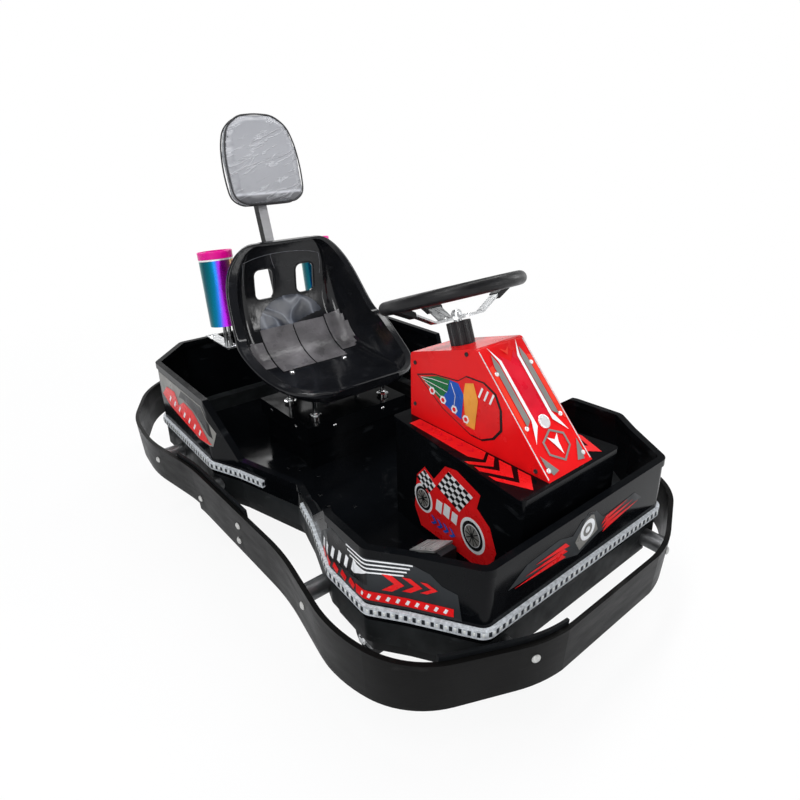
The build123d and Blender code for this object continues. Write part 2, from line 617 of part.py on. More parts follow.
def casters():
    fork_z = 2 * CASTER_R + FORK_ABOVE
    plate_top = fork_z + FORK_PLATE
    wheel_y = SWIVEL_Y + TRAIL
    mounts = []
    half_plate, plate_thick = CASTER_PLATE
    for side, sign in SIDES:
        x = sign * CASTER_X
        place = Pos(x, wheel_y, CASTER_R)
        save("caster_tyre_" + side, place * tyre(CASTER_R, CASTER_TYRE_DEEP, CASTER_HALF_W, CASTER_SHOULDER))
        save("caster_hub_" + side, place * rim(CASTER_R - CASTER_TYRE_DEEP, PIN_R + RUN_CLEAR, CASTER_HALF_W - 2, 3, 11))
        cheek_x = CASTER_HALF_W + FORK_GAP + FORK_SHEET / 2
        reach = cheek_x + FORK_SHEET / 2
        pin_eye = PIN_R + 5
        shape = [(SWIVEL_Y - FORK_HALF_Y, fork_z + 1), (SWIVEL_Y + FORK_HALF_Y, fork_z + 1),
                 (wheel_y + pin_eye, CASTER_R), (wheel_y + 3, CASTER_R - pin_eye), (wheel_y - pin_eye, CASTER_R - 3)]
        fork = block((x - reach, x + reach), (SWIVEL_Y - FORK_HALF_Y, SWIVEL_Y + FORK_HALF_Y), (fork_z, plate_top))
        fork += rod_z(reach + 2, fork_z, plate_top, x, SWIVEL_Y)
        for cheek in (-1, 1):
            fork += across(shape, FORK_SHEET / 2, x + cheek * cheek_x)
        fork += rod_x(PIN_R, x - reach - STEM_END, x + reach + STEM_END, wheel_y, CASTER_R)
        fork += rod_z(STEM_R, plate_top, RAIL_LOW_Z - STEM_END, x, SWIVEL_Y)
        save("caster_fork_" + side, fork)
        mount = rod_z(STEM_BOSS_R, plate_top + 8, RAIL_LOW_Z - plate_thick, x, SWIVEL_Y)
        mount += block((x - half_plate, x + half_plate), (SWIVEL_Y - half_plate, SWIVEL_Y + half_plate),
                       (RAIL_LOW_Z - plate_thick, RAIL_LOW_Z))
        mounts.append(mount - rod_z(STEM_R + RUN_CLEAR, plate_top, RAIL_LOW_Z - STEM_END + 1, x, SWIVEL_Y))
    save("caster_mounts", joined(mounts))


# Foot pedal on its housing in the right-hand footwell
PEDAL_X = (-164, -118)
PEDAL_Y = (-470, -400)
PEDAL_LOW = 8
PEDAL_HIGH = 46
PEDAL_SHEET = 5


def pedal():
    (x_low, x_high), (y_low, y_high) = PEDAL_X, PEDAL_Y
    z = FLOOR_TOP_Z
    housing = across([(y_low - 14, z), (y_high, z), (y_high, z + PEDAL_LOW), (y_low, z + PEDAL_HIGH),
                      (y_low - 14, z + PEDAL_HIGH)], (x_high - x_low) / 2 - 4, (x_low + x_high) / 2)
    save("pedal_housing", housing)
    plate = across([(y_high, z + PEDAL_LOW), (y_high, z + PEDAL_LOW + PEDAL_SHEET),
                    (y_low, z + PEDAL_HIGH + PEDAL_SHEET), (y_low, z + PEDAL_HIGH)],
                   (x_high - x_low) / 2, (x_low + x_high) / 2)
    for step in range(1, 5):
        share = step / 5
        y = y_high + share * (y_low - y_high)
        plate += rod_x(2, x_low + 4, x_high - 4, y, z + PEDAL_LOW + PEDAL_SHEET + share * (PEDAL_HIGH - PEDAL_LOW))
    save("pedal_plate", plate)


tub_panels()
chassis()
light_strips()
belt()
belt_brackets()
seat_box()
deck_box()
steering_wheel()
console()
column_bush()
seat()
headrest()
tailpipes()
rear_wheels()
casters()
pedal()
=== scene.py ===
"""Looks for a battery bumper car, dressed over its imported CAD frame.

Units are metres. The front of the car is at -Y and its right side at -X.
"""

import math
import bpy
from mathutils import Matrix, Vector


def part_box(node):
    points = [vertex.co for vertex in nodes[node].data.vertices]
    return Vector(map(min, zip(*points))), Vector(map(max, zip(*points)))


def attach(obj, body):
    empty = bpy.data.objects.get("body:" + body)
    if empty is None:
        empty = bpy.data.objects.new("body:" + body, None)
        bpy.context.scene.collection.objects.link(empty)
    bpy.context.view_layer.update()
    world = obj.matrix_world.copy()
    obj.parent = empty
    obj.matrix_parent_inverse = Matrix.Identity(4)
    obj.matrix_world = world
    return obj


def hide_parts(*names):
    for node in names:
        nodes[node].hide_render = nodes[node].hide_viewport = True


bl_info = {
    "name": "Bumper Car Finish",
    "version": (1, 0, 0),
    "blender": (4, 5, 0),
    "location": "3D View > Sidebar > Bumper Car",
    "description": "Gives the bumper car its finishes, trim, stickers and padded headrest",
    "category": "Add Mesh",
}

from contextlib import contextmanager

import bpy
from bpy.props import FloatProperty, FloatVectorProperty, IntProperty, PointerProperty
from mathutils import Matrix, Vector

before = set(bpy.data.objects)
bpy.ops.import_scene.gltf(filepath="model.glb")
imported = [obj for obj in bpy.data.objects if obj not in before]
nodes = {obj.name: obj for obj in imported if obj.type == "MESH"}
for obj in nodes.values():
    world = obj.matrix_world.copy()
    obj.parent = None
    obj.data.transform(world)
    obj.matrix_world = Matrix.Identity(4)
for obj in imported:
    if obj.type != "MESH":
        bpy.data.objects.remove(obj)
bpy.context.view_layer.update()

SIDES = (("right", -1), ("left", 1))
ACROSS = Vector((1, 0, 0))
UP = Vector((0, 0, 1))


# Values that a user would change
class BumperCarSizes(bpy.types.PropertyGroup):
    bolt_radius: FloatProperty(
        name="Belt bolt radius", description="Radius of the domed heads on the belt",
        default=0.0075, unit="LENGTH")
    rivet_radius: FloatProperty(
        name="Rivet radius", description="Radius of the console's rivets", default=0.0045, unit="LENGTH")
    screw_radius: FloatProperty(
        name="Screw radius", description="Radius of the black screws in the console's sides",
        default=0.004, unit="LENGTH")
    sticker_thick: FloatProperty(
        name="Sticker thickness", description="Thickness of each coloured layer",
        default=0.0003, unit="LENGTH")
    chip_pitch: FloatProperty(
        name="Light chip pitch", description="Distance from one light chip to the next",
        default=0.007, unit="LENGTH")
    piping_radius: FloatProperty(
        name="Piping radius", description="Radius of the cord sewn round the headrest",
        default=0.002, unit="LENGTH")
    cushion_swell: FloatProperty(
        name="Cushion swell", description="How far the headrest may swell from its cut shape",
        default=0.0075, unit="LENGTH")
    tread_deep: FloatProperty(
        name="Tread depth", description="Depth of the grooves of the drive tyres",
        default=0.0025, unit="LENGTH")
    tread_bars: IntProperty(
        name="Tread bars", description="Number of bars round a drive tyre", default=36, min=8, max=90)


class BumperCarColours(bpy.types.PropertyGroup):
    body: FloatVectorProperty(
        name="Body", description="Gloss black paint", subtype="COLOR", default=(0.0028, 0.0033, 0.0041))
    belt: FloatVectorProperty(
        name="Belt", description="Brownish black bumper belt", subtype="COLOR",
        default=(0.0040, 0.0039, 0.0038))
    console: FloatVectorProperty(
        name="Console", description="Gloss red panels", subtype="COLOR", default=(0.80, 0.008, 0.010))
    crimson: FloatVectorProperty(
        name="Crimson", description="Darker stripe of the console's front", subtype="COLOR",
        default=(0.66, 0.002, 0.02))
    cushion: FloatVectorProperty(
        name="Cushion", description="Grey face of the headrest", subtype="COLOR",
        default=(0.30, 0.305, 0.325))
    sticker_red: FloatVectorProperty(
        name="Sticker red", description="Red of the stickers", subtype="COLOR",
        default=(0.78, 0.012, 0.014))
    sticker_grey: FloatVectorProperty(
        name="Sticker grey", description="Grey ground of the stickers", subtype="COLOR",
        default=(0.024, 0.027, 0.030))
    sticker_white: FloatVectorProperty(
        name="Sticker white", description="White lines of the stickers", subtype="COLOR",
        default=(0.86, 0.87, 0.88))


def colours():
    return bpy.context.scene.bumper_colours


def sizes():
    return bpy.context.scene.bumper_sizes


# Selection, edit mode and modifiers
def stand_alone(piece):
    """Leaves only this piece selected, in object mode."""
    if bpy.context.mode != "OBJECT":
        bpy.ops.object.mode_set(mode="OBJECT")
    bpy.ops.object.select_all(action="DESELECT")
    if piece:
        piece.select_set(True)
        bpy.context.view_layer.objects.active = piece


def named(name):
    piece = bpy.context.object
    piece.name = name
    piece.data.name = name
    return piece


def settle(piece):
    """Puts a piece's place into its mesh, so that its object sits at the origin."""
    stand_alone(piece)
    bpy.ops.object.transform_apply(location=True, rotation=True, scale=True)
    return piece


def primitive(kind, name, **settings):
    """Adds one of Blender's primitives with its place in its mesh."""
    stand_alone(None)
    getattr(bpy.ops.mesh, f"primitive_{kind}_add")(**settings)
    return settle(named(name))


@contextmanager
def editing(piece):
    """Edit mode with the whole of one piece selected."""
    stand_alone(piece)
    bpy.ops.object.mode_set(mode="EDIT")
    bpy.ops.mesh.select_mode(type="VERT")
    bpy.ops.mesh.select_all(action="SELECT")
    yield
    bpy.ops.object.mode_set(mode="OBJECT")


def merge_close(distance):
    """Merges the corners that lie together, in edit mode."""
    bpy.ops.mesh.select_all(action="SELECT")
    bpy.ops.mesh.remove_doubles(threshold=distance)


def pick_faces(piece, test):
    """Selects the faces that pass a test, in edit mode."""
    stand_alone(piece)
    bpy.ops.object.mode_set(mode="EDIT")
    bpy.ops.mesh.select_mode(type="FACE")
    bpy.ops.mesh.select_all(action="DESELECT")
    bpy.ops.object.mode_set(mode="OBJECT")
    for face in piece.data.polygons:
        face.select = test(face)
    bpy.ops.object.mode_set(mode="EDIT")


def looks_up(face):
    return face.normal.z > 0.9


def inset(piece, test, thickness, depth):
    """Insets the faces that pass a test, and lifts or sinks them."""
    pick_faces(piece, test)
    bpy.ops.mesh.inset(thickness=thickness, depth=depth)
    bpy.ops.object.mode_set(mode="OBJECT")


def add_modifier(piece, kind, **settings):
    modifier = piece.modifiers.new(kind.title(), kind)
    for key, value in settings.items():
        setattr(modifier, key, value)
    stand_alone(piece)
    bpy.ops.object.modifier_apply(modifier=modifier.name)


def lay_on(piece, node, proud):
    """Drops each corner of a piece down the piece's own Z onto a CAD node."""
    add_modifier(piece, "SHRINKWRAP", target=nodes[node], wrap_method="PROJECT", use_project_z=True,
                 use_negative_direction=True, use_positive_direction=False, offset=proud)


def smooth(piece, degrees=35):
    stand_alone(piece)
    bpy.ops.object.shade_smooth_by_angle(angle=math.radians(degrees))
    return piece


# Places, copies and dress
def turn(degrees, axis):
    return Matrix.Rotation(math.radians(degrees), 4, axis)


def way_at(degrees):
    """A step of 1 in a plane, at an angle."""
    return Vector((math.cos(math.radians(degrees)), math.sin(math.radians(degrees))))


def standing(point, outward, across=None):
    """A place whose Z points outward at a point of a surface, and whose X runs across."""
    z = Vector(outward).normalized()
    x = Vector(across) if across else UP.cross(z)
    if x.length < 0.01:
        x = ACROSS
    x = (x - z * x.dot(z)).normalized()
    place = Matrix((x, z.cross(x), z)).transposed().to_4x4()
    place.translation = Vector(point)
    return place


def touch(node, start, direction):
    """Where a straight line from start meets a CAD node, and how its surface faces there."""
    hit, point, outward, face = nodes[node].ray_cast(Vector(start), Vector(direction).normalized())
    if not hit:
        raise RuntimeError(f"nothing of {node} lies along {tuple(direction)} from {tuple(start)}")
    return point, outward


def stand_on(node, start, direction):
    return standing(*touch(node, start, direction))


def stand_on_sides(node, points, across=1):
    """Places on both sides of a node for points of y and z, reached from this far out."""
    return [stand_on(node, (sign * across, y, z), (-sign, 0, 0)) for side, sign in SIDES for y, z in points]


def joined_as(name, pieces):
    stand_alone(pieces[0])
    for piece in pieces:
        piece.select_set(True)
    if len(pieces) > 1:
        bpy.ops.object.join()
    return named(name)


def spread(pattern, name, places):
    """Copies a pattern to each place, joins the copies into one piece and drops the pattern."""
    copies = []
    for place in places:
        copy = pattern.copy()
        copy.data = pattern.data.copy()
        bpy.context.collection.objects.link(copy)
        copy.matrix_world = place
        copies.append(copy)
    bpy.data.objects.remove(pattern)
    return settle(joined_as(name, copies))


def dressed(piece, finish, body="chassis"):
    if finish:
        piece.data.materials.clear()
        piece.data.materials.append(finishes[finish])
    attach(piece, body)
    return piece


def fasten(pattern, name, places, finish="chrome", body="chassis"):
    return dressed(spread(pattern, name, places), finish, body)


# Shapes that several pieces share. First the radius and height of each bolt head and nut
AXLE_NUT = (0.0125, 0.006)
CASTER_NUT = (0.0072, 0.0042)
FLOOR_RIVET = (0.006, 0.0024)
HUB_BOLT = (0.0036, 0.0026)
LID_BOLT = (0.005, 0.003)
PIPE_BAR_BOLT = (0.006, 0.004)
RIM_BOLT = (0.0042, 0.003)
SEAT_BOLT = (0.0075, 0.005)
STUD_NUT = (0.0105, 0.006)
BELT_BOLT_TALL = 0.0045
RIVET_TALL = 0.003
SCREW_TALL = 0.0022


def turned(name, profile, steps=32):
    """Spins a line of (radius, height) points about Z into a closed solid."""
    radius, height = profile[0]
    piece = primitive("plane", name, size=0.001, location=(radius, 0, height))
    with editing(piece):
        bpy.ops.mesh.merge(type="CENTER")
        for (r0, h0), (r1, h1) in zip(profile, profile[1:]):
            bpy.ops.mesh.extrude_vertices_move(TRANSFORM_OT_translate={"value": (r1 - r0, 0, h1 - h0)})
        merge_close(0.000001)
        bpy.ops.mesh.select_all(action="SELECT")
        bpy.ops.mesh.spin(steps=steps, angle=2 * math.pi, center=(0, 0, 0), axis=(0, 0, 1))
        merge_close(0.00001)
        bpy.ops.mesh.normals_make_consistent(inside=False)
    return smooth(piece)


def domed_head(name, radius, height):
    """A bolt head with a flat rim and a round top."""
    return turned(name, [(0, 0), (radius, 0), (radius, height * 0.3), (radius * 0.86, height * 0.62),
                         (radius * 0.6, height * 0.88), (radius * 0.3, height * 0.98), (0, height)], 20)


def hexagon_head(name, radius, height):
    """A hexagon head with its top edges broken, on a thin washer."""
    head = primitive("cylinder", name, vertices=6, radius=radius, depth=height, location=(0, 0, height / 2))
    inset(head, looks_up, radius * 0.14, height * 0.12)
    washer = turned(name + "_washer", [(0, 0), (radius * 1.45, 0), (radius * 1.45, height * 0.2),
                                       (radius * 1.3, height * 0.25), (0, height * 0.25)], 20)
    return joined_as(name, [head, washer])


def socket_head(name, radius, height):
    """A round screw head with a sunk socket."""
    profile = [(0, height), (radius * 0.84, height), (radius, height * 0.75), (radius, 0), (0, 0)]
    head = turned(name, profile, 24)
    inset(head, lambda face: looks_up(face) and face.center.xy.length < radius * 0.6,
          radius * 0.3, -height * 0.6)
    return head


def mesh_of(name, curve):
    """Makes a piece out of a curve."""
    piece = bpy.data.objects.new(name, curve)
    bpy.context.collection.objects.link(piece)
    stand_alone(piece)
    bpy.ops.object.convert(target="MESH")
    return named(name)


def tube_along(name, points, radius, closed=False):
    """A round cord along a smooth curve through the points."""
    curve = bpy.data.curves.new(name, "CURVE")
    curve.dimensions = "3D"
    curve.bevel_depth = radius
    curve.bevel_resolution = 2
    curve.use_fill_caps = not closed
    spline = curve.splines.new("BEZIER")
    spline.bezier_points.add(len(points) - 1)
    for knot, point in zip(spline.bezier_points, points):
        knot.co = point
        knot.handle_left_type = "AUTO"
        knot.handle_right_type = "AUTO"
    spline.use_cyclic_u = closed
    spline.resolution_u = 6
    return smooth(mesh_of(name, curve), 60)


def flat_shape(name, outlines):
    """A flat face with these outlines, an outline inside another being a hole. It lies on z = 0."""
    curve = bpy.data.curves.new(name, "CURVE")
    curve.dimensions = "2D"
    curve.fill_mode = "BOTH"
    for outline in outlines:
        spline = curve.splines.new("POLY")
        spline.points.add(len(outline) - 1)
        for knot, (u, v) in zip(spline.points, outline):
            knot.co = (u, v, 0, 1)
        spline.use_cyclic_u = True
    piece = settle(mesh_of(name, curve))
    with editing(piece):
        merge_close(0.00001)
        bpy.ops.mesh.normals_make_consistent(inside=False)
    return piece


def circle(u, v, radius, count=28):
    middle = Vector((u, v))
    return [tuple(middle + way_at(index * 360 / count) * radius) for index in range(count)]


def bar(start, end, width):
    """The outline of a straight bar between two points."""
    start, end = Vector(start), Vector(end)
    along = end - start
    side = Vector((-along.y, along.x)).normalized() * width / 2
    return [tuple(start + side), tuple(start - side), tuple(end - side), tuple(end + side)]


def chevron(u, v, length, half, thick):
    """A V that points along +u, its tip at (u + length, v)."""
    return [(u, v + half), (u + thick, v + half), (u + thick + length, v), (u + thick, v - half),
            (u, v - half), (u + length, v)]


# Node trees
def feed(tree, socket, value):
    """Links a socket to another one, or gives it a plain value."""
    if isinstance(value, bpy.types.NodeSocket):
        tree.links.new(value, socket)
    else:
        socket.default_value = value


def math_node(tree, operation, *values):
    """A Math node over sockets or numbers."""
    made = tree.nodes.new("ShaderNodeMath")
    made.operation = operation
    for socket, value in zip(made.inputs, values):
        feed(tree, socket, value)
    return made.outputs[0]


def map_range(tree, value, from_low, from_high, to_low, to_high, kind="LINEAR"):
    made = tree.nodes.new("ShaderNodeMapRange")
    made.interpolation_type = kind
    feed(tree, made.inputs["Value"], value)
    numbers = {"From Min": from_low, "From Max": from_high, "To Min": to_low, "To Max": to_high}
    for key, number in numbers.items():
        made.inputs[key].default_value = number
    return made.outputs["Result"]


def mix_shaders(tree, share, first, second, surface):
    made = tree.nodes.new("ShaderNodeMixShader")
    for socket, value in zip(made.inputs, (share, first, second)):
        tree.links.new(value, socket)
    tree.links.new(made.outputs[0], surface)


# Finishes
class Finish:
    """A procedural material on Object coordinates, built up from a few layers."""

    def __init__(self, name, colour, roughness, metallic=0.0, specular=0.5, **sockets):
        self.material = bpy.data.materials.new(name)
        self.material.use_nodes = True
        self.tree = self.material.node_tree
        self.shader = self.tree.nodes["Principled BSDF"]
        self.colour = tuple(colour)
        plain = {"Base Color": (*colour, 1), "Roughness": roughness, "Metallic": metallic,
                 "Specular IOR Level": specular, **sockets}
        for key, value in plain.items():
            self.shader.inputs[key.replace("_", " ")].default_value = value
        self.place = self.tree.nodes.new("ShaderNodeTexCoord").outputs["Object"]

    def node(self, kind, **inputs):
        made = self.tree.nodes.new(kind)
        for key, value in inputs.items():
            feed(self.tree, made.inputs[key.replace("_", " ")], value)
        return made

    def noise(self, scale, stretch=(1, 1, 1), detail=4.0):
        mapping = self.node("ShaderNodeMapping", Vector=self.place, Scale=stretch)
        made = self.node("ShaderNodeTexNoise", Vector=mapping.outputs[0], Scale=scale, Detail=detail)
        return made.outputs["Fac"]

    def ramp(self, factor, stops):
        """Colours over a factor. A ramp has two stops already, and any more are new ones."""
        made = self.node("ShaderNodeValToRGB", Fac=factor)
        for index, (position, colour) in enumerate(stops):
            if index < 2:
                stop = made.color_ramp.elements[index]
                stop.position = position
            else:
                stop = made.color_ramp.elements.new(position)
            stop.color = (*colour, 1)
        return made.outputs["Color"]

    def mix(self, factor, first, second):
        made = self.node("ShaderNodeMix")
        made.data_type = "RGBA"
        feed(self.tree, made.inputs["Factor"], factor)
        feed(self.tree, made.inputs[6], first)
        feed(self.tree, made.inputs[7], second)
        return made.outputs[2]

    def paint(self, colour):
        self.tree.links.new(colour, self.shader.inputs["Base Color"])
        return self

    def mottle(self, scale, amount, stretch=(1, 1, 1)):
        """Colour that drifts darker and lighter."""
        dark = tuple(c * (1 - amount) for c in self.colour)
        light = tuple(min(1, c * (1 + amount)) for c in self.colour)
        return self.paint(self.ramp(self.noise(scale, stretch), [(0.3, dark), (0.7, light)]))

    def polish(self, scale, low, high, stretch=(1, 1, 1)):
        """Roughness that drifts between two values."""
        drift = map_range(self.tree, self.noise(scale, stretch), 0.3, 0.7, low, high)
        self.tree.links.new(drift, self.shader.inputs["Roughness"])
        return self

    def relief(self, height, strength, distance):
        """Bump from a height, over any bump that is there already."""
        bump = self.node("ShaderNodeBump", Height=height, Strength=strength, Distance=distance)
        before = self.shader.inputs["Normal"]
        if before.is_linked:
            self.tree.links.new(before.links[0].from_socket, bump.inputs["Normal"])
        self.tree.links.new(bump.outputs["Normal"], before)
        return self

    def grain(self, scale, strength, distance=0.001, stretch=(1, 1, 1)):
        return self.relief(self.noise(scale, stretch), strength, distance)

    def wear(self, colour, amount, scale=14):
        """Thin scuffs of another colour over the mottle."""
        mask = self.ramp(self.noise(scale, (1, 1, 3), 9.0), [(0.62, (0, 0, 0)), (0.72, (amount,) * 3)])
        below = self.shader.inputs["Base Color"].links[0].from_socket
        return self.paint(self.mix(mask, below, (*colour, 1)))


def film_patch():
    """Clear film that has lifted off the seat: milky swirls over the black."""
    finish = Finish("lifted_film", (0.05, 0.058, 0.07), 0.16, specular=0.25)
    swirl = finish.node("ShaderNodeTexNoise", Vector=finish.place, Scale=11.0, Detail=0.6, Distortion=1.1)
    finish.paint(finish.ramp(swirl.outputs["Fac"], [
        (0.34, (0.020, 0.024, 0.034)), (0.45, (0.045, 0.052, 0.070)), (0.50, (0.17, 0.185, 0.215)),
        (0.54, (0.055, 0.064, 0.085)), (0.66, (0.030, 0.035, 0.048))]))
    return finish.relief(swirl.outputs["Fac"], 0.2, 0.008)


def rainbow(side, sign):
    """Heat-blued colours that change round the tailpipe, blotched along it."""
    finish = Finish("rainbow_" + side, (0.3, 0.2, 0.8), 0.24, 0.9)
    low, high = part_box("tailpipe_right")
    middle = (sign * PIPE_X + 0.01, (low.y + high.y) / 2 - 0.01, 0)
    place = finish.node("ShaderNodeMapping", Vector=finish.place, Location=tuple(-Vector(middle)))
    push = finish.node("ShaderNodeVectorMath")
    push.operation = "MULTIPLY_ADD"
    drift = finish.noise(9, (1, 1, 0.35))
    for socket, value in zip(push.inputs, (drift, (0.02, -0.02, 0), place.outputs[0])):
        feed(finish.tree, socket, value)
    around = finish.node("ShaderNodeTexGradient", Vector=push.outputs[0])
    around.gradient_type = "RADIAL"
    finish.paint(finish.ramp(around.outputs["Fac"], [
        (0.0, (0.0, 0.07, 0.10)), (1.0, (0.0, 0.08, 0.10)), (0.06, (0.0, 0.13, 0.17)),
        (0.105, (0.0, 0.18, 0.36)), (0.14, (0.03, 0.20, 0.85)), (0.17, (0.38, 0.05, 0.95)),
        (0.205, (0.80, 0.01, 0.95)), (0.27, (0.80, 0.02, 0.72)), (0.31, (0.85, 0.28, 0.55)),
        (0.35, (0.90, 0.62, 0.30)), (0.42, (0.80, 0.50, 0.22)), (0.50, (0.60, 0.08, 0.60)),
        (0.62, (0.10, 0.18, 0.72)), (0.75, (0.0, 0.30, 0.42)), (0.86, (0.0, 0.26, 0.22)),
        (0.94, (0.0, 0.16, 0.16))]))
    return finish.polish(30, 0.18, 0.34)


def sticker_film(name, colour, roughness=0.3):
    finish = Finish(name, colour, roughness, specular=0.2)
    return finish.mottle(26, 0.10).polish(34, roughness * 0.75, roughness * 1.25).grain(380, 0.06, 0.0003)


def padded_face():
    """Pale cover under a loose clear film: slanting creases, with a painted highlight along each crease."""
    finish = Finish("filmed_cover", colours().cushion, 0.38, Coat_Weight=0.2, Coat_Roughness=0.22)
    warp = finish.noise(9, (1, 1, 1), 3.0)
    slant = finish.node("ShaderNodeMapping", Vector=finish.place, Rotation=(0, math.radians(-20), 0),
                        Scale=(1, 1, 1 / 6))
    slant.vector_type = "TEXTURE"
    crease = finish.node("ShaderNodeTexNoise", Vector=slant.outputs[0], Scale=11.0, Detail=3.0,
                         Distortion=0.6)
    crease_with_painted_highlight = finish.ramp(crease.outputs["Fac"], [
        (0.50, (0, 0, 0)), (0.64, (0, 0, 0)), (0.57, (1, 1, 1)), (0.545, (0.15, 0.15, 0.15))])
    low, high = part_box("headrest_cushion")
    place = finish.node("ShaderNodeSeparateXYZ", Vector=finish.place)
    rise = map_range(finish.tree, place.outputs["Z"], low.z, high.z, 0, 1)
    # Painted shade under the tuck at the bottom, a painted highlight on it, and paler towards the top
    base = finish.ramp(rise, [(at, tuple(share * c for c in finish.colour)) for at, share in (
        (0.0, 0.45), (1.0, 1.05), (0.13, 0.5), (0.15, 1.9), (0.175, 1.0), (0.6, 1.15))])
    # Painted highlight: a pale colour laid along the crease ridges, which also drive the bump
    finish.paint(finish.mix(0.55, finish.mix(crease_with_painted_highlight, base, (0.62, 0.63, 0.66, 1)), base))
    return finish.relief(crease_with_painted_highlight, 0.5, 0.004).relief(warp, 0.4, 0.012).grain(320, 0.08, 0.0006)


def mesh_band():
    """Grey spacer mesh: small dark cells in a paler net."""
    finish = Finish("grey_spacer_mesh", (0.20, 0.215, 0.225), 0.8, Sheen_Weight=0.3)
    cells = finish.node("ShaderNodeTexVoronoi", Vector=finish.place, Scale=330.0).outputs["Distance"]
    finish.paint(finish.ramp(cells, [(0.25, (0.06, 0.065, 0.07)), (0.5, (0.27, 0.285, 0.30))]))
    return finish.relief(cells, 0.5, 0.0008)


def post_steel_with_painted_shade():
    """Drawn square tube: grey steel on its front and foot, with painted shade that blackens its two sides.
    """
    grey, black = (0.30, 0.30, 0.31), (0.012, 0.012, 0.013)
    finish = Finish("drawn_post_steel_painted_shade", grey, 0.42, 1.0)
    place = finish.node("ShaderNodeSeparateXYZ", Vector=finish.place)
    aside = math_node(finish.tree, "ABSOLUTE", place.outputs["X"])
    reach = map_range(finish.tree, aside, POST_HALF - 0.0005, POST_HALF + 0.0005, 0, 1)
    # Painted shade: black on the two side faces, grey steel elsewhere
    finish.paint(finish.ramp(reach, [(0.40, grey), (0.70, grey), (0.45, black), (0.60, black)]))
    return finish.polish(40, 0.34, 0.5, (1, 1, 5)).grain(500, 0.15, 0.0004, (1, 1, 6))


